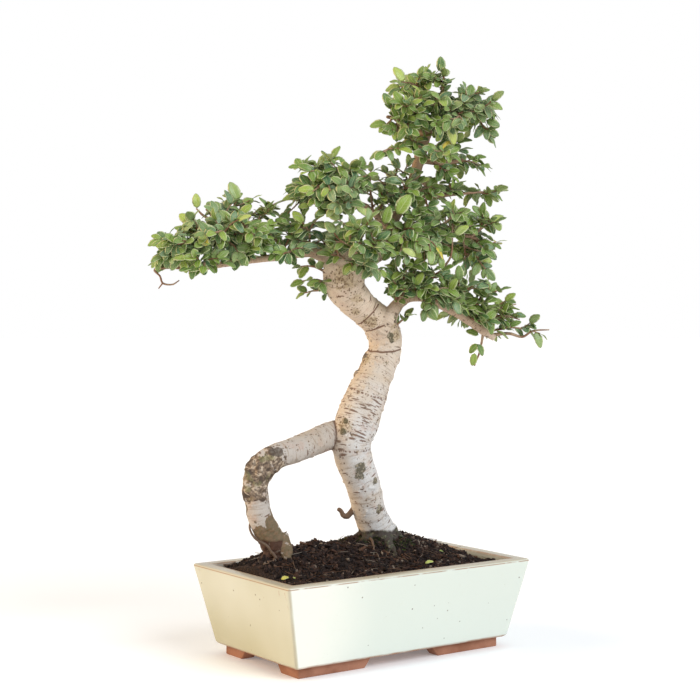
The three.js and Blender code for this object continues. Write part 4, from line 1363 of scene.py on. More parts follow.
class RepeatTree:
    """A Geometry Nodes tree with named inputs."""

    def __init__(self, name: str, **inputs: str) -> None:
        """Starts the tree.

        Args:
            name: Its name.
            inputs: The kind of each input after the geometry and the finish.
        """
        self.tree = bpy.data.node_groups.new(name, "GeometryNodeTree")
        self.sheet = NodeSheet(self.tree)
        self.identifiers: dict[str, str] = {}
        socket = self.tree.interface.new_socket
        socket(name="Geometry", in_out="OUTPUT", socket_type="NodeSocketGeometry")
        for label, kind in {"Geometry": "Geometry", "Finish": "Material", **inputs}.items():
            made = socket(name=label, in_out="INPUT", socket_type=f"NodeSocket{kind}")
            self.identifiers[label] = made.identifier

    def read(self, name: str) -> Wire:
        """Reads a named input."""
        return self.sheet.add("NodeGroupInput", output=name)

    def stored(self, name: str, kind: str = "FLOAT") -> Wire:
        """Reads a stored number or vector."""
        return self.sheet.add("GeometryNodeInputNamedAttribute", {"Name": name}, data_type=kind)

    def draw(self, low: float, high: float, seed: Wire, kind: str = "FLOAT") -> Wire:
        """Adds a random number between two values."""
        inputs = {"Min": low, "Max": high, "Seed": seed}
        return self.sheet.add("FunctionNodeRandomValue", inputs, data_type=kind)

    def copies(self, points: Wire, turn: Wire, size: Wire, **more: Wire) -> Wire:
        """Sets one of the shapes in the Shapes collection on each point."""
        inputs = {"Collection": self.read("Shapes"), "Separate Children": True, "Reset Children": True}
        shapes = {"Instance": self.sheet.add("GeometryNodeCollectionInfo", inputs), "Pick Instance": True}
        inputs = {"Points": points, **shapes, "Rotation": turn, "Scale": size}
        inputs.update({name.replace("_", " "): wire for name, wire in more.items()})
        return self.sheet.add("GeometryNodeInstanceOnPoints", inputs)

    def finish(self, instances: Wire) -> "RepeatTree":
        """Ends the tree in plain geometry with its material."""
        plain = self.sheet.add("GeometryNodeRealizeInstances", {0: instances})
        inputs = {"Geometry": plain, "Material": self.read("Finish")}
        dressed = self.sheet.add("GeometryNodeSetMaterial", inputs)
        self.sheet.node("NodeGroupOutput", {"Geometry": dressed})
        return self

    def run(self, made: Piece, finish: Finish, **values: object) -> Piece:
        """Runs the tree on an object.

        Args:
            made: The object, whose mesh the tree reads.
            finish: The finish of the result.
            values: The values of the named inputs.

        Returns:
            The same object, with the result as its plain mesh.
        """
        modifier = made.modifiers.new(self.tree.name, "NODES")
        modifier.node_group = self.tree
        for name, value in {"Finish": finish.material(), **values}.items():
            modifier[self.identifiers[name]] = value
        return settle(made)


def scatter_tree() -> RepeatTree:
    """Builds the tree that strews loose pieces over the ground."""
    sizes = ("Density", "Smallest", "Largest", "Lift", "Tilt")
    tree = RepeatTree("strewn_pieces", Shapes="Collection", **dict.fromkeys(sizes, "Float"), Seed="Int")
    sheet, seed = tree.sheet, tree.read("Seed")
    ground = {"Mesh": tree.read("Geometry"), "Density": tree.read("Density"), "Seed": seed}
    strewn = sheet.add("GeometryNodeDistributePointsOnFaces", ground, "Points", distribute_method="RANDOM")
    offset = sheet.add("ShaderNodeCombineXYZ", {"Z": tree.read("Lift")})
    points = sheet.add("GeometryNodeSetPosition", {"Geometry": strewn, "Offset": offset})
    tilt = tree.read("Tilt")
    turn = {axis: tilt * tree.draw(-1.0, 1.0, seed + step) for axis, step in (("X", 1.0), ("Y", 2.0))}
    turn["Z"] = tree.draw(0.0, 2 * math.pi, seed + 3.0)
    small, draw = tree.read("Smallest"), tree.draw(0.0, 1.0, seed + 4.0)
    size = small + (tree.read("Largest") - small) * draw * draw * draw
    placed = tree.copies(points, sheet.add("ShaderNodeCombineXYZ", turn), size)
    tone = {"Geometry": placed, "Name": "tone", "Value": tree.draw(0.0, 1.0, seed + 5.0)}
    toned = sheet.add("GeometryNodeStoreNamedAttribute", tone, data_type="FLOAT", domain="INSTANCE")
    return tree.finish(toned)


@dataclass
class Litter:
    """Loose matter on the soil."""

    soil: Soil
    moss: tuple[Row, ...] = (
        (-14, 8, 6.0), (0, 3, 6.0), (9, 2, 6.0), (18, 1, 5.5), (27, 6, 6.0), (33, 14, 5.0)
    )
    roots: tuple[tuple[Row, Row, float], ...] = (
        ((4, 4), (11, -18), 1.2), ((20, 2), (17, -12), 0.9), ((16, 5), (19, -18), 0.30),
        ((24, 6), (38, -10), 0.65), ((0, 8), (-15, -13), 0.45), ((-3, 14), (-30, 2), 0.50),
        ((-62, -42), (-86, -38), 0.80), ((-60, -42), (-70, -58), 0.90), ((-54, -40), (-47, -58), 0.70),
        ((-64, -32), (-83, -18), 0.60)
    )
    strand_rings: int = 26
    strand_sides: int = 6
    strand_seed: int = 231
    seed: int = 31

    def _strands(self) -> Piece:
        """Builds the thin roots that run over the soil."""
        draft = Draft()
        for index, (start, end, radius) in enumerate(self.roots):
            line = self.soil.strand(start, end, radius, self.strand_seed + index)
            draft.tube(line, self.strand_rings, self.strand_sides)
        return TwigFinish().dress(draft.object("surface_roots"))

    def _crumb(self, rng: Random) -> Piece:
        """Builds one crumb, about one unit across."""
        golden = (1 + 5**0.5) / 2
        corners = [(0, s, t * golden) for s in (-1, 1) for t in (-1, 1)]
        points = unit(np.array([(*c[i:], *c[:i]) for c in corners for i in range(3)])) * 0.5
        points *= np.array([[0.75 + 0.5 * rng.random()] for _ in points])
        points *= [1.0, 0.65 + 0.3 * rng.random(), 0.55 + 0.3 * rng.random()]
        return self._hull(points)

    def _chip(self, rng: Random) -> Piece:
        """Builds one flat splinter of bark, about one unit long."""
        width = 0.28 + 0.2 * rng.random()
        outline = [
            (-0.5, -0.3), (-0.44, 0.35), (-0.1, 0.5), (0.3, 0.42), (0.5, 0.1), (0.42, -0.4), (0.0, -0.5)
        ]
        return self._hull(
            (x, y * width * (0.8 + 0.4 * rng.random()), z + 0.25 * x * x)
            for z in (-0.09, 0.09)
            for x, y in outline
        )

    @staticmethod
    def _hull(points: Iterable[Sequence[float]]) -> Piece:
        """Wraps points in their convex hull."""
        shape = bmesh.new()
        for point in points:
            shape.verts.new(point)
        bmesh.ops.convex_hull(shape, input=shape.verts)
        bmesh.ops.delete(shape, geom=[v for v in shape.verts if not v.link_faces], context="VERTS")
        bmesh.ops.recalc_face_normals(shape, faces=shape.faces)
        mesh = bpy.data.meshes.new("hull")
        shape.to_mesh(mesh)
        shape.free()
        return put_object("hull", mesh)

    def _fibre(self, rng: Random) -> Piece:
        """Builds one curved fibre, about one unit long."""
        bend = 0.5 * rng.random() + 0.1
        rows = []
        for x in (-0.5, -0.2, 0.15, 0.5):
            y = bend * (x * x - 0.12) + 0.1 * (rng.random() - 0.5)
            rows.append((x, y, 0.10 * (0.25 - x * x) + 0.05 * rng.random()))
        return Draft().tube(Spline(np.array(rows), [0.010, 0.014, 0.012, 0.006]), 6, 3).object("fibre")

    def _moss_tuft(self, rng: Random) -> Piece:
        """Builds one tuft of moss, about one unit high."""
        draft = Draft()
        for i in range(5):
            turn = 2 * math.pi * (i + 0.5 * rng.random()) / 5
            lean = 0.35 + 0.5 * rng.random()
            tip = (lean * math.cos(turn), lean * math.sin(turn), 0.75 + 0.4 * rng.random())
            middle = (0.6 * tip[0], 0.6 * tip[1], 0.45 * tip[2])
            draft.tube(Spline(np.array([(0, 0, -0.2), middle, tip]), [0.10, 0.13, 0.02]), 3, 3, 0.2)
        return draft.object("moss_tuft")

    def build(self) -> Iterator[Piece]:
        """Makes one piece of each kind.

        Yields:
            The pieces.
        """
        yield self._strands()
        tree = scatter_tree()
        # each kind's shape, first seed, number of shapes, density, smallest and largest size, lift, tilt,
        # share of the soil, and places
        kinds = {
            Scatter.CRUMBS: (self._crumb, 0, 5, 430000.0, 0.0010, 0.0050, 0.0003, 3.0, 0.965, ()),
            Scatter.CHIPS: (self._chip, 50, 5, 30000.0, 0.0025, 0.0080, 0.0012, 0.55, 0.93, ()),
            Scatter.FIBRES: (self._fibre, 100, 6, 52000.0, 0.004, 0.017, 0.0014, 0.3, 0.88, ()),
            Scatter.MOSS: (self._moss_tuft, 150, 4, 800000.0, 0.0011, 0.0026, 0.0, 0.5, 0.9, self.moss)
        }
        for number, (kind, row) in enumerate(kinds.items()):
            shape, first, shapes, density, small, large, lift, tilt, *where = row
            label = kind.name.lower()
            group = hidden_collection(label, [shape(Random(self.seed + first + i)) for i in range(shapes)])
            yield tree.run(
                self.soil.ground(f"soil_{label}", *where), LooseFinish(f"loose_{label}", kind), Shapes=group,
                Density=density, Smallest=small, Largest=large, Lift=lift, Tilt=tilt,
                Seed=self.seed + 10 * number
            )
            drop_collection(group)


# Thin cuts in the bark: a place with its reach, and the direction across the cut
CUTS: list[tuple[Row, Row]] = [
    ((16.5, 20, 226.3, 17), (0.02, -0.20, 1.0)), ((4.0, 0, 251.5, 12), (-0.74, -0.22, 0.68)),
    ((9, 5, 241.5, 9.0), (-0.40, -0.2, 0.93))
]

# Rows of small dark dots, in the same way
DOTTED: list[tuple[Row, Row]] = [
    ((5, 9, 204, 17), (0.42, -0.1, 1.0)), ((-8, -2, 152, 16), (0.0, -0.1, 1.0)),
    ((3, 7, 194, 19), (0.35, -0.1, 1.0)), ((-12, -10, 292, 15), (-0.12, -0.15, 1.0))
]

# Marks on the bark: places with their reach
MARKS: dict[str, list[Row]] = {
    "lichen": [
        (-2.2, -12, 138, 6.2), (-3.2, -12, 132, 5.6), (9.5, -5, 127, 4.2), (11.5, 2, 107, 4.4),
        (-14.5, -14, 165, 4.0), (-13, -14, 173, 3.0), (20.5, 8, 236, 3.6), (22, 8, 232, 2.8),
        (-1, 0, 214, 3.4), (7, -2, 117, 3.0)
    ],
    "mottle": [
        (-14, -24, 279, 13), (-3, -22, 262, 9), (-5, -16, 251, 8), (6, -4, 246, 9), (21, 8, 245, 7),
        (24, 12, 236, 7), (3, 9, 216, 7), (-14, -14, 170, 8), (-4, -10, 196, 6), (18, 8, 246, 7)
    ],
    "olive": [
        (-63, -46, 110, 6.0), (-65, -49, 102, 8.5), (-66, -49, 94, 10), (-74, -50, 94, 9), (-62, -44, 86, 10),
        (-71, -50, 87, 9), (-51, -42, 80, 8)
    ],
    "elbow": [
        (-66, -44, 147, 12), (-76, -49, 139, 15), (-79, -48, 125, 12), (-84, -40, 134, 9), (-82, -48, 113, 5),
        (26, 4, 249.5, 4.2), (0, 12, 221.5, 4.5), (-6, 8, 208, 3.6)
    ],
    "oval": [(-62, -46, 153, 5), (-66.5, -47, 151, 4.5)]
}


# Points round the rings of the thick stems
THICK_RINGS = {"trunk": 44, "leg": 36, "arm": 22, "leader": 22, "right": 20}


@dataclass
class Wood:
    """The elm's whole wood."""

    voxel: float = 0.00075
    sample_step: float = 0.0016
    ring_step: float = 0.0025
    ring_points: int = 14
    chunk: int = 4000
    full_girth: float = 0.014
    # stems' lengths are set apart by this, so that no two share a pattern
    stagger: float = 0.37
    dashes_at: Pair = (0.125, 0.045)
    # forms of the relief: each has a height and the size of its lumps
    swell: Pair = (0.00040, 0.011)
    knots: Pair = (0.00085, 0.0036)
    pores: Pair = (0.00016, 0.0035)
    wound: Pair = (0.0021, 0.0052)
    wound_fine: Pair = (0.0008, 0.0022)
    olive_lumps: Pair = (0.0005, 0.0030)
    root_lumps: Pair = (0.0012, 0.0034)
    root_fine: Pair = (0.0006, 0.0017)
    ripple: float = 0.00010
    ripple_cell: Row = (0.010, 0.010, 0.0015)
    wound_pits: float = 0.0009
    lichen_height: float = 0.00035
    cut_depth: float = 0.00040
    crease_depth: float = 0.00060
    seed: int = 11

    def __post_init__(self) -> None:
        """Walks every stem once."""
        self.names = list(WOOD)
        self.splines = {name: wood_spline(path) for name, path in WOOD.items()}
        self.walks = [
            Stations.along(spline, max(4, round(spline.length() / self.sample_step)))
            for spline in self.splines.values()
        ]
        self.owner = np.repeat(np.arange(len(WOOD)), [len(walk.centres) for walk in self.walks])
        self.all = Stations(*(
            np.concatenate([getattr(walk, key) for walk in self.walks])
            for key in ("centres", "tangents", "sides", "ups", "radii", "lengths")
        ))

    def _tubes(self) -> Piece:
        """Sweeps all stems and joins them by a fine remesh."""
        draft = Draft()
        for name, spline in self.splines.items():
            rings = max(6, round(spline.length() / self.ring_step))
            draft.tube(spline, rings, THICK_RINGS.get(name, self.ring_points))
        made = modify(draft.object("elm_wood"), "REMESH", mode="VOXEL", voxel_size=self.voxel)
        return settle(modify(made, "SMOOTH", factor=0.5, iterations=5))

    def nearest(self, points: Array) -> Array:
        """Finds the place on the stems whose surface is nearest to each point."""
        found = np.empty(len(points), int)
        centres, radii = self.all.centres.astype(np.float32), self.all.radii.astype(np.float32)
        for start in range(0, len(points), self.chunk):
            rows = slice(start, start + self.chunk)
            part = points[rows].astype(np.float32)
            squares = (part**2).sum(1)[:, None] + (centres**2).sum(1)[None] - 2 * part @ centres.T
            found[rows] = (np.sqrt(np.maximum(squares, 0)) - radii).argmin(1)
        return found

    @staticmethod
    def _spots(points: Array, marks: Iterable[Row]) -> Array:
        """Gives 1 at the middle of each mark, fading to 0 at its reach."""
        total = np.zeros(len(points))
        for mark in marks:
            distance = np.linalg.norm(points - VIEW.place([mark])[0], axis=1) / (mark[3] * MM)
            total = np.maximum(total, smooth(distance, 1.25, 0.35))
        return total

    @staticmethod
    def _cut_distance(points: Array, cuts: list[tuple[Row, Row]]) -> Array:
        """Gives the signed distance to the cuts near each point, or one metre."""
        found = np.ones(len(points))
        wander = 0.0006 * lattice_noise(points, 0.006, 3)
        for mark, normal in cuts:
            offset = points - VIEW.place([mark])[0]
            near = np.linalg.norm(offset, axis=1) < mark[3] * MM
            found = np.where(near, offset @ VIEW.direction(*normal) + wander, found)
        return found

    def _gap(self, points: Array, name: str) -> Array:
        """Gives the distance from points to a stem's surface."""
        walk = self.walks[self.names.index(name)]
        gap = np.full(len(points), np.inf)
        for centre, radius in zip(walk.centres, walk.radii, strict=True):
            gap = np.minimum(gap, np.abs(np.linalg.norm(points - centre, axis=1) - radius))
        return gap

    def _among(self, owner: Array, word: str) -> Array:
        """Tells which points belong to stems with a word in their names."""
        return np.isin(owner, [i for i, name in enumerate(self.names) if word in name])

    def _marks(self, points: Array, soil: Soil) -> dict[str, Array]:
        """Works out the marks of the bark.

        Args:
            points: The wood's points.
            soil: The soil, near which the wood is damp, with painted shade at the trunk's foot.

        Returns:
            The value of each mark at the points, by the name that the finish reads it by.
        """
        nearest = self.nearest(points)
        owner, radii, tangents = self.owner[nearest], self.all.radii[nearest], self.all.tangents[nearest]
        radial = points - self.all.centres[nearest]
        ahead = (radial * tangents).sum(1)
        radial -= tangents * ahead[:, None]
        length = self.all.lengths[nearest] + ahead + self.stagger * owner
        grain = [(radial * axes[nearest]).sum(1) for axes in (self.all.sides, self.all.ups)]
        height, trunk = points[:, 2], owner == 0
        right_root = owner == self.names.index("leg_root_right")
        crease = smooth(np.maximum(self._gap(points, "trunk"), self._gap(points, "leg")), 0.0013, 0.0003)
        # Damp near the soil and low on the trunk and roots, partly painted shade at the trunk's foot
        damp = smooth(height - soil.ridge(points - VIEW.middle), 0.010, 0.001)
        damp = np.maximum(damp, smooth(height, 0.094, 0.084) * 0.9)
        damp = np.maximum(damp, self._among(owner, "root") * smooth(height, 0.098, 0.088))
        middle, half = self.dashes_at
        values = {name: self._spots(points, marks) for name, marks in MARKS.items()}
        values["olive"] = np.maximum(values["olive"], 0.68 * right_root)
        return values | {
            "cut": self._cut_distance(points, CUTS),
            "dotted": self._cut_distance(points, DOTTED),
            "dashes": np.clip(1.1 - np.abs(length % self.stagger - middle) / half, 0, 1) * trunk,
            # Painted warm light: how far the trunk's surface faces left in the front view
            "warm": smooth(radial @ VIEW.direction(-1.0, 0.0, 0.0) / radii, -0.1, 0.8) * trunk,
            "crease": crease * smooth(height, 0.120, 0.140),
            "damp": np.where(right_root, smooth(height, 0.079, 0.072), damp),
            "leg": self._among(owner, "leg").astype(float),
            "girth": np.clip(radii / self.full_girth, 0, 1),
            "grain": np.column_stack([*grain, length])
        }

    def _relief(self, points: Array, marks: dict[str, Array]) -> Array:
        """Gives how far the relief lifts each point, from the marks there."""

        def lumps(form: Pair, step: int) -> Array:
            """Gives noise with a form's lumps."""
            return lattice_noise(points, form[1], self.seed + step)

        girth, wound, damp, knobs = marks["girth"], marks["elbow"], marks["damp"], lumps(self.wound, 4)
        ripple = lattice_noise(marks["grain"], self.ripple_cell, self.seed + 2)
        return (
            girth * self.swell[0] * lumps(self.swell, 0)
            + girth * self.knots[0] * smooth(lumps(self.knots, 7), 0.40, 0.85)
            + girth * self.ripple * ripple
            + self.pores[0] * lumps(self.pores, 1)
            + wound * self.wound[0] * np.maximum(knobs, 0) ** 0.7
            - wound * self.wound_pits * smooth(knobs, 0.0, -0.4)
            + wound * self.wound_fine[0] * lumps(self.wound_fine, 5)
            + marks["olive"] * self.olive_lumps[0] * lumps(self.olive_lumps, 8)
            + damp * self.root_lumps[0] * lumps(self.root_lumps, 6)
            + damp * self.root_fine[0] * lumps(self.root_fine, 9)
            + marks["lichen"] * self.lichen_height
            - smooth(np.abs(marks["cut"]), 0.0011, 0.0003) * self.cut_depth
            - marks["crease"] * self.crease_depth
        )

    def build(self, soil: Soil) -> Piece:
        """Builds the wood with its relief and its marks.

        Args:
            soil: The soil, near which the wood is damp and rough, with painted shade at the trunk's foot.

        Returns:
            The finished piece.
        """
        made = self._tubes()
        points, normals = read_rows(made.data.vertices, "co"), read_rows(made.data.vertex_normals, "vector")
        marks = self._marks(points, soil)
        points = points + normals * self._relief(points, marks)[:, None]
        made.data.vertices.foreach_set("co", points.astype(np.float32).ravel())
        made.data.update()
        for name, values in marks.items():
            put_attribute(made.data, name, values)
        return BarkFinish().dress(made)

    def bare_twigs(self) -> Piece:
        """Builds the bare twigs and cut stubs."""
        draft = Draft()
        for path in BARE_TWIGS:
            draft.tube(wood_spline(path), 5 * len(path), 8)
        return TwigFinish().dress(draft.object("bare_twigs"))


class LeafForm(Enum):
    """How a leaf is bent: its droop, its fold at the midrib and its twist."""

    FLAT = (0.10, 0.10, 0.06)
    CUPPED = (0.16, 0.26, -0.08)
    DROOPED = (0.30, 0.14, 0.12)


@dataclass(frozen=True)
class LeafShape:
    """A toothed leaf of length 1 that starts at the origin and points along Y."""

    width: float = 0.58
    thickness: float = 0.016
    stations: int = 8
    tooth: float = 0.035
    # a tooth's tip stands forward of its notch
    tooth_shift: Pair = (0.22, -0.05)
    wave: float = 0.03
    fullness: float = 2.38
    base_power: float = 0.57
    tip_power: float = 0.66

    def build(self, form: LeafForm) -> Piece:
        """Builds the leaf as a thin closed lens.

        Args:
            form: How it is bent.

        Returns:
            The leaf, with its along, across and under attributes.
        """
        droop, fold, twist = form.value
        rows: list[Row] = []
        marks: list[Row] = []

        def put(along: float, across: float, side: int) -> int:
            """Adds a point and gives its number."""
            x = across * self._half_width(along)
            bent = droop * along * along - fold * abs(x) * 0.9 + self.wave * math.sin(9 * along) * abs(across)
            rows.append((x, along, twist * x * along * 2 - bent + side * self.thickness / 2))
            marks.append((along, across, 0.5 - 0.5 * side))
            return len(rows) - 1

        root, tip = put(0.0, 0.0, 0), put(1.0, 0.0, 0)
        layers: tuple[list[list[int]], ...] = ([], [])
        for k in range(1, self.stations):
            along = (k + self.tooth_shift[0 if k % 2 else 1]) / self.stations
            left, right = put(along, -1.0, 0), put(along, 1.0, 0)
            for layer, side in zip(layers, (1, -1), strict=True):
                layer.append([left, *(put(along, share, side) for share in (-0.5, 0.0, 0.5)), right])
        faces: list[tuple[int, ...]] = []
        for bands, turn in zip(layers, (1, -1), strict=True):
            for i in range(4):
                for low, top in zip(bands, bands[1:]):
                    faces.append((low[i], low[i + 1], top[i + 1], top[i])[::turn])
                first, last = bands[0], bands[-1]
                faces += [(root, first[i + 1], first[i])[::turn], (tip, last[i], last[i + 1])[::turn]]
        leaf = Draft().add(rows, faces).object(f"leaf_{form.name.lower()}")
        for name, values in zip(("along", "across", "under"), np.array(marks).T, strict=True):
            put_attribute(leaf.data, name, values)
        leaf.data.shade_smooth()
        return leaf

    def _half_width(self, along: float) -> float:
        """Gives half the leaf's width, with its teeth."""
        inside = 0 < along < 1
        oval = self.fullness * along**self.base_power * (1 - along) ** self.tip_power if inside else 0.0
        return self.width / 2 * oval * (1 + (self.tooth if round(along * self.stations) % 2 else -self.tooth))


@dataclass
class Leaf:
    """Where one leaf grows, and how it is held."""

    root: Array
    forward: Array
    face: Array
    size: float
    tint: float

    def turn(self) -> tuple[float, ...]:
        """Gives the turn from a leaf that points along Y with its face up."""
        side = unit(np.cross(self.forward, self.face))
        up = np.cross(side, self.forward)
        return tuple(Matrix(np.column_stack([side, self.forward, up]).tolist()).to_euler())


def leaf_tree() -> RepeatTree:
    """Builds the tree that sets a leaf on each point."""
    tree = RepeatTree("leaves_on_twigs", Shapes="Collection", Length="Float", Seed="Int")
    points = tree.sheet.add("GeometryNodeMeshToPoints", {"Mesh": tree.read("Geometry")})
    form = tree.draw(0, len(LeafForm) - 1, tree.read("Seed"), "INT")
    size = tree.stored("size") * tree.read("Length")
    return tree.finish(tree.copies(points, tree.stored("turn", "FLOAT_VECTOR"), size, Instance_Index=form))


def twig_tree() -> RepeatTree:
    """Builds the tree that sweeps twigs along lines."""
    tree = RepeatTree("twigs_along_lines", Sides="Int")
    circle = {"Resolution": tree.read("Sides"), "Radius": 1.0}
    inputs = {
        "Curve": tree.sheet.add("GeometryNodeMeshToCurve", {"Mesh": tree.read("Geometry")}),
        "Profile Curve": tree.sheet.add("GeometryNodeCurvePrimitiveCircle", circle, mode="RADIUS"),
        "Scale": tree.stored("girth"), "Fill Caps": True
    }
    return tree.finish(tree.sheet.add("GeometryNodeCurveToMesh", inputs))


@dataclass
class Shoot:
    """A leafy twig: its line and the way that its leaves face."""

    line: Spline
    outwards: Array
    leaves: list[Leaf] = field(default_factory=list)


@dataclass
class Foliage:
    """The leafy sprays, grown towards the same tips as the solid ones."""

    wood: Wood
    # where a main twig forks off, and how it bends
    fork_span: Pair = (0.1, 0.98)
    fork_samples: int = 40
    fork_slant: float = 0.5
    fork_most: float = 0.009
    sunk: float = 0.3
    seat: float = 0.9
    gap: float = 0.0003
    arch: float = 0.1
    swing: float = 0.0025
    # side shoots: how many, where on the main twig, how long, and degrees round it and off it
    side_shoots: int = 4
    inner_side_shoots: int = 3
    side_places: Pair = (0.10, 0.72)
    side_length: Pair = (0.010, 0.019)
    side_shorter: float = 0.4
    side_roll: float = 110.0
    side_angles: Pair = (44.0, 26.0)
    side_bow: float = 0.1
    side_facing: float = 0.4
    side_flatness: float = 0.8
    side_rise: float = 0.06
    bare_foot: float = 0.25
    # twigs: radii at the foot and tip, and how main twigs and side shoots taper
    twig_radius: Pair = (0.00110, 0.00042)
    main_taper: Row = (1.0, 1.0, 0.75, 0.4)
    side_taper: Row = (0.75, 0.55, 0.4)
    twig_rings: int = 6
    twig_sides: int = 5
    # leaves of a twig: how many, and the first one's place with the lift of the last one's tint
    main_leaves: int = 7
    side_leaves: int = 6
    inner_leaves: int = 5
    main_growth: Pair = (0.34, 0.45)
    side_growth: Pair = (0.18, 0.35)
    inner_growth: Pair = (0.45, 0.3)
    # a leaf: degrees off its twig, its facing's shares of up, outwards, forwards and chance, and its nod
    leaf_length: float = 0.0113
    last_places: Pair = (0.94, 0.97)
    spread: float = 52.0
    spread_range: float = 16.0
    lift: float = 0.9
    tilt: float = 0.8
    forward: float = 0.75
    scatter: float = 2.1
    nod: float = 0.25
    nod_middle: float = 0.6
    # least values, and what chance adds
    sizes: Pair = (0.68, 0.47)
    tints: Pair = (0.10, 0.5)
    tint_power: float = 1.5
    yellow_above: float = 0.996
    # tips with few leaves: the pad, and the tip's number in it
    sparse: tuple[tuple[str, int], ...] = (
        ("low", 0), ("crown", 8), ("crown", 10), ("crown", 11), ("left", 15)
    )
    fallen_lift: float = 0.0018
    # each fallen leaf: across, away, turn, size, tint
    fallen: tuple[Row, ...] = (
        (-58, -76, 35, 0.62, 0.99), (46, -13, 10, 0.60, 0.96), (-48, -76, 130, 0.26, 0.9),
        (62, 22, 200, 0.35, 0.7), (-20, 30, 250, 0.5, 1.0), (30, 45, 120, 0.5, 1.0)
    )
    # each large or pale leaf that stands out: across, away, up, turn, facing, size, tint
    lone: tuple[Row, ...] = (
        (-123, -16, 331, 95, 0.9, 1.0, 0.90), (-93, -14, 337, 112, 0.9, 1.35, 0.80),
        (-93, -14, 337, 155, 0.5, 1.1, 0.95), (60, 18, 437, 92, 0.9, 1.1, 0.22),
        (31, 5, 428, 122, 0.8, 1.2, 0.85), (25, -22, 326, 58, 0.8, 1.6, 0.66),
        (15.7, -20, 319, 74, 0.8, 1.25, 0.62), (39, -20, 295, 145, 0.6, 1.05, 0.96),
        (3.7, -25, 325, 140, 0.6, 0.95, 0.92), (69, -2, 312, 40, 0.8, 1.15, 0.88),
        (65, 2, 394, -68, 0.8, 1.3, 0.95), (58, 1, 396, -95, 0.8, 1.15, 0.15),
        (89.5, 36, 229, -60, 0.8, 0.9, 0.3), (89.5, 36, 229, -140, 0.7, 0.85, 0.5),
        (87, 36, 222, -100, 0.7, 0.9, 0.7), (90, 36, 236, 150, 0.7, 0.9, 0.4)
    )
    seed: int = 1000
    seed_step: int = 37
    inner_seed: int = 7000
    inner_seed_step: int = 41

    def _foot(self, names: Sequence[str], tip: Array) -> tuple[Array, float]:
        """Finds the place and radius of the named wood that a twig grows from."""
        t = np.linspace(*self.fork_span, self.fork_samples + 1)
        found = []
        for name in names:
            distances = np.linalg.norm(self.wood.splines[name].point(t) - tip, axis=1)
            found.append((distances.min(), t[distances.argmin()], self.wood.splines[name]))
        distance, at, spline = min(found, key=lambda row: row[0])
        back = min(self.fork_slant * distance, self.fork_most) / spline.length()
        at = np.array([max(self.fork_span[0], at - back)])
        return spline.point(at)[0], float(spline.radius(at)[0])

    def _twig(self, names: Sequence[str], tip: Sequence[float]) -> Shoot:
        """Lays out the main twig of a spray."""
        end = VIEW.place([tip])[0]
        centre, radius = self._foot(names, end)
        outwards = unit(end - centre)
        start = centre + outwards * (self.seat * radius + self.gap)
        span = end - start
        middle = start + span / 2 + [0, 0, self.arch * np.linalg.norm(span)]
        middle = middle + self.swing * unit(np.array([-span[1], span[0], 0.0]))
        base = centre + outwards * self.sunk * radius
        return Shoot(Spline(np.array([base, start, middle, end]), self.main_taper), outwards)

    def _set_leaves(self, shoot: Shoot, draws: Draws, count: int, first: float, young: float) -> Shoot:
        """Sets leaves along a twig, in two ranks, with one at its tip.

        Args:
            shoot: The twig.
            draws: Random numbers.
            count: Number of leaves.
            first: Place of the first one.
            young: How far the last one's tint is lifted.

        Returns:
            The twig.
        """
        for i in range(count):
            last = i == count - 1
            share = i / max(1, count - 2)
            t = np.array([self.last_places[1] if last else first + (self.last_places[0] - first) * share])
            along = shoot.line.tangent(t)[0]
            face = np.array([0.0, 0.0, self.lift]) + self.tilt * shoot.outwards
            face += self.forward * VIEW.direction(0, -1, 0)
            face[:2] += [self.scatter * (draws() - 0.5) for _ in range(2)]
            face = unit(face)
            side = unit(np.cross(face, along))
            rank = 0 if last else (1 if i % 2 == 0 else -1)
            angle = math.radians(self.spread + self.spread_range * (draws() - 0.5)) * rank
            lean = np.array([0, 0, self.nod * (draws() - self.nod_middle)])
            size = self.sizes[0] + self.sizes[1] * draws()
            forward = unit(along * math.cos(angle) + side * math.sin(angle) + lean)
            lifted = young * (1.0 if last else share)
            tint = self.tints[0] + self.tints[1] * draws() ** self.tint_power + lifted * draws()
            tint = 1.0 if draws() > self.yellow_above else min(tint, 1.0)
            shoot.leaves.append(Leaf(shoot.line.point(t)[0], forward, face, size, tint))
        return shoot

    def _side_shoots(self, main: Shoot, draws: Draws, count: int, leaves: int) -> Iterator[Shoot]:
        """Grows side shoots from a spray's main twig.

        Args:
            main: The main twig.
            draws: Random numbers.
            count: Number of side shoots.
            leaves: Number of leaves on each.

        Yields:
            The side shoots.
        """
        for i in range(count):
            share = self.side_places[0] + self.side_places[1] * (i + 0.5 * draws()) / count
            t = np.array([self.bare_foot + (1 - self.bare_foot) * share])
            start, along = main.line.point(t)[0], main.line.tangent(t)[0]
            face = unit(np.array([0.0, 0.0, 1.0]) + self.side_facing * main.outwards)
            side = unit(np.cross(face, along))
            roll = math.pi * (i % 2) + math.radians(self.side_roll) * (draws() - 0.5)
            upright = np.cross(along, side) * math.sin(roll) * self.side_flatness
            sideways = side * math.cos(roll) + upright
            angle = math.radians(self.side_angles[0] + self.side_angles[1] * draws())
            heading = unit(along * math.cos(angle) + sideways * math.sin(angle) + [0, 0, self.side_rise])
            low, high = self.side_length
            length = (low + (high - low) * draws()) * (1 - self.side_shorter * share)
            bow = self.side_bow * length * unit(np.cross(heading, sideways))
            end = start + heading * length
            line = Spline(np.array([start, (start + end) / 2 + bow, end]), self.side_taper)
            side_shoot = Shoot(line, unit(0.5 * main.outwards + 0.5 * heading))
            yield self._set_leaves(side_shoot, draws, leaves, *self.side_growth)

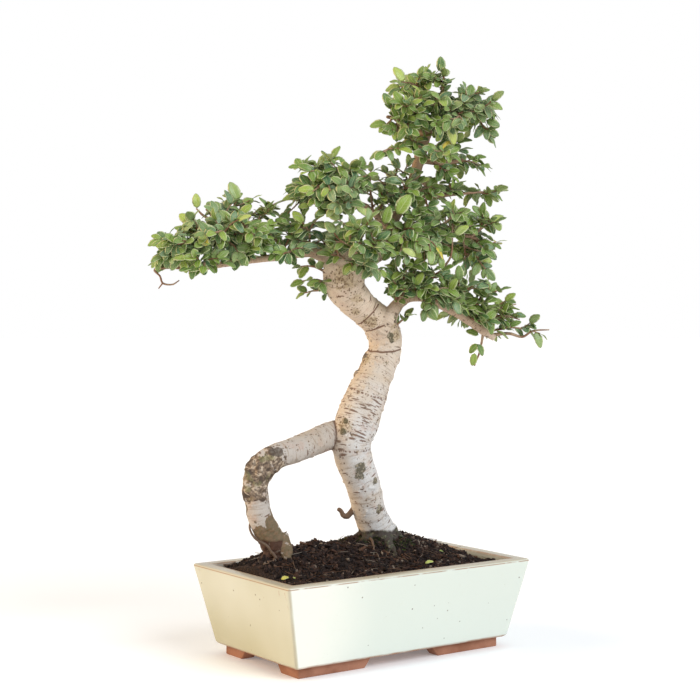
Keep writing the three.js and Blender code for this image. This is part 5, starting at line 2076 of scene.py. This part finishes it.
    def _grow(self, pad: str, first_number: int) -> Iterator[Shoot]:
        """Grows all shoots of a pad, fewer at its sparse tips."""
        names, tips = SPRAYS[pad]
        for index, tip in enumerate(tips):
            draws = Draws(self.seed + self.seed_step * (first_number + index))
            leaves, shoots = self.main_leaves, self.side_shoots
            if (pad, index) in self.sparse:
                leaves, shoots = self.inner_leaves, 1
            yield (main := self._set_leaves(self._twig(names, tip), draws, leaves, *self.main_growth))
            yield from self._side_shoots(main, draws, shoots, self.side_leaves)
        leaves, shoots = self.inner_leaves, 0 if pad == "low" else self.inner_side_shoots
        for index, tip in enumerate(INNER_TIPS.get(pad, [])):
            draws = Draws(self.inner_seed + self.inner_seed_step * index + first_number)
            yield (main := self._set_leaves(self._twig(names, tip), draws, leaves, *self.inner_growth))
            yield from self._side_shoots(main, draws, shoots, leaves)

    def _leaf_piece(
        self, name: str, leaves: Sequence[Leaf], tree: RepeatTree, group: bpy.types.Collection
    ) -> Piece:
        """Makes one piece of some leaves."""
        made = Draft().add([leaf.root for leaf in leaves]).object(name)
        rows = [(leaf.turn(), leaf.size, leaf.tint) for leaf in leaves]
        for key, values in zip(("turn", "size", "tint"), zip(*rows), strict=True):
            put_attribute(made.data, key, values)
        return tree.run(made, LeafFinish(), Shapes=group, Length=self.leaf_length, Seed=self.seed)

    def _twig_piece(self, name: str, shoots: Sequence[Shoot], tree: RepeatTree) -> Piece:
        """Makes one piece of all twigs of some shoots."""
        draft, girths, t = Draft(), [], np.linspace(0, 1, self.twig_rings)
        (thick, thin), least = self.twig_radius, self.main_taper[-1]
        for shoot in shoots:
            draft.add(shoot.line.point(t), line=True)
            girths.append(thin + (thick - thin) * (shoot.line.radius(t) - least) / (1 - least))
        made = draft.object(name)
        put_attribute(made.data, "girth", np.concatenate(girths))
        return TwigFinish().dress(tree.run(made, TwigFinish(), Sides=self.twig_sides), 60.0)

    def _fallen_leaves(self, soil: Soil) -> Iterator[Leaf]:
        """Lays the fallen leaves on the soil."""
        for across, away, turn, size, tint in self.fallen:
            root = VIEW.place([(across, away, 0.0)])
            root[:, 2] = soil.height(root - VIEW.middle) + self.fallen_lift
            angle = math.radians(turn)
            forward = VIEW.direction(math.cos(angle), math.sin(angle), 0.35)
            yield Leaf(root[0], forward, unit(np.array([0.3 * math.sin(turn), -0.3, 1.0])), size, tint)

    def _lone_leaves(self) -> Iterator[Leaf]:
        """Sets the single leaves that stand out."""
        for across, away, up, turn, facing, size, tint in self.lone:
            angle = math.radians(turn)
            forward = VIEW.direction(math.cos(angle), 0.0, math.sin(angle))
            face = VIEW.direction(0.35 * (1 - facing), -facing, 0.5)
            yield Leaf(VIEW.place([(across, away, up)])[0], forward, unit(face), size, tint)

    def build(self, soil: Soil) -> Iterator[tuple[str, Piece, Piece | None]]:
        """Grows every pad.

        Args:
            soil: The soil, for the fallen leaves.

        Yields:
            The pad's name, its leaves and its twigs, and single leaves at the end.
        """
        leaves, twigs = leaf_tree(), twig_tree()
        group = hidden_collection("leaf_forms", [LeafShape().build(form) for form in LeafForm])
        number = 0
        for pad, (_, tips) in SPRAYS.items():
            shoots = list(self._grow(pad, number))
            number += len(tips)
            grown = [leaf for shoot in shoots for leaf in shoot.leaves]
            piece = self._leaf_piece(f"leaves_{pad}", grown, leaves, group)
            yield pad, piece, self._twig_piece(f"twigs_{pad}", shoots, twigs)
        yield "", self._leaf_piece("lone_leaves", list(self._lone_leaves()), leaves, group), None
        yield "", self._leaf_piece("fallen_leaves", list(self._fallen_leaves(soil)), leaves, group), None
        drop_collection(group)


@dataclass
class Studio:
    """The white floor, the soft lights and the camera."""

    camera_place: Row = (-0.6796, -0.9355, 0.257)
    sight: Pair = (0.581, 0.814)
    lens: float = 79.1
    shift_down: float = 0.06
    floor_radius: float = 12.0
    floor_sides: int = 64
    sky: float = 0.58
    # each light: name, front-view direction from the tree to it, strength, degrees across, colour
    suns: tuple[tuple[str, Row, float, float, Colour], ...] = (
        ("key_light", (0.70, -0.66, 0.72), 1.9, 35.0, (0.86, 0.94, 1.0)),
        ("fill_light", (-1.0, -0.10, 0.32), 2.3, 50.0, (1.0, 0.71, 0.37))
    )

    def _floor(self) -> None:
        """Builds the floor as a wide disc."""
        sides = self.floor_sides
        turns = 2 * math.pi * np.arange(sides) / sides
        rim = self.floor_radius * np.column_stack([np.cos(turns), np.sin(turns), 0 * turns])
        faces = [(0, i + 1, (i + 1) % sides + 1) for i in range(sides)]
        floor = Draft().add(np.vstack([[0, 0, 0], rim]), faces)
        WhiteFloorFinish().dress(floor.object("floor"))

    def _sun(self, name: str, heading: Row, energy: float, spread: float, colour: Colour) -> None:
        """Adds a far light. A wide spread throws soft shadows."""
        light = bpy.data.lights.new(name, "SUN")
        light.energy, light.angle, light.color = energy, math.radians(spread), colour
        self._aim(put_object(name, light), Vector(VIEW.direction(*heading)).to_track_quat("Z", "Y"))

    @staticmethod
    def _aim(made: Piece, turn: Quaternion) -> None:
        """Turns a light or a camera."""
        made.rotation_mode = "QUATERNION"
        made.rotation_quaternion = turn

    def _world(self) -> None:
        """Sets up the white surroundings, which look brighter than they light."""
        world = bpy.data.worlds.new("white_studio")
        bpy.context.scene.world = world
        world.use_nodes = True
        world.node_tree.nodes.clear()
        sheet = NodeSheet(world.node_tree)
        strength = sheet.add("ShaderNodeLightPath", output="Is Camera Ray") * (1.0 - self.sky) + self.sky
        background = sheet.add("ShaderNodeBackground", {"Color": (1.0, 1.0, 1.0), "Strength": strength})
        sheet.node("ShaderNodeOutputWorld", {"Surface": background})

    def build(self) -> None:
        """Sets up the floor, the lights and the camera."""
        self._floor()
        self._world()
        for sun in self.suns:
            self._sun(*sun)
        scene = bpy.context.scene
        scene.view_settings.view_transform = "Standard"
        camera = bpy.data.cameras.new("camera")
        camera.lens = self.lens
        camera.shift_y = -self.shift_down
        camera.clip_start = 0.05
        scene.camera = put_object("camera", camera)
        scene.camera.location = Vector(self.camera_place) + Vector(VIEW.middle)
        self._aim(scene.camera, Vector((*self.sight, 0.0)).to_track_quat("-Z", "Y"))


def report(piece: Piece, slot: str, *nodes: str) -> None:
    """Gives a piece its body, hides the nodes it replaces, and logs it."""
    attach(piece, BODY)
    if nodes:
        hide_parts(*nodes)
    piece.data.calc_loop_triangles()
    LOG.info("%s: %d triangles", piece.name, len(piece.data.loop_triangles))


def main() -> None:
    """Builds the sub-assemblies in order and reports each piece."""
    logging.basicConfig(level=logging.INFO, format="%(name)s: %(message)s", stream=sys.stdout)
    Studio().build()

    pot = Pot()
    report(pot.build(), "glaze", "pot")

    soil = Soil(pot)
    report(soil.mound(), "soil", "soil")
    for piece in Litter(soil).build():
        report(piece, "soil")

    wood = Wood()
    report(wood.build(soil), "bark", "trunk")
    report(wood.bare_twigs(), "bark")

    for pad, leaves, twigs in Foliage(wood).build(soil):
        sprays = (f"spray_{pad}_0", f"spray_{pad}_1")
        report(leaves, "leaves", *(name for name in frame["nodes"] if name.startswith(sprays)))
        if twigs is not None:
            report(twigs, "bark")

    for name in ("drain_screen_left", "drain_screen_right"):
        slots = frame["nodes"][name].data.materials
        slots.clear()
        slots.append(ScreenFinish().material())

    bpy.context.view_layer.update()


if __name__ == "__main__":
    main()
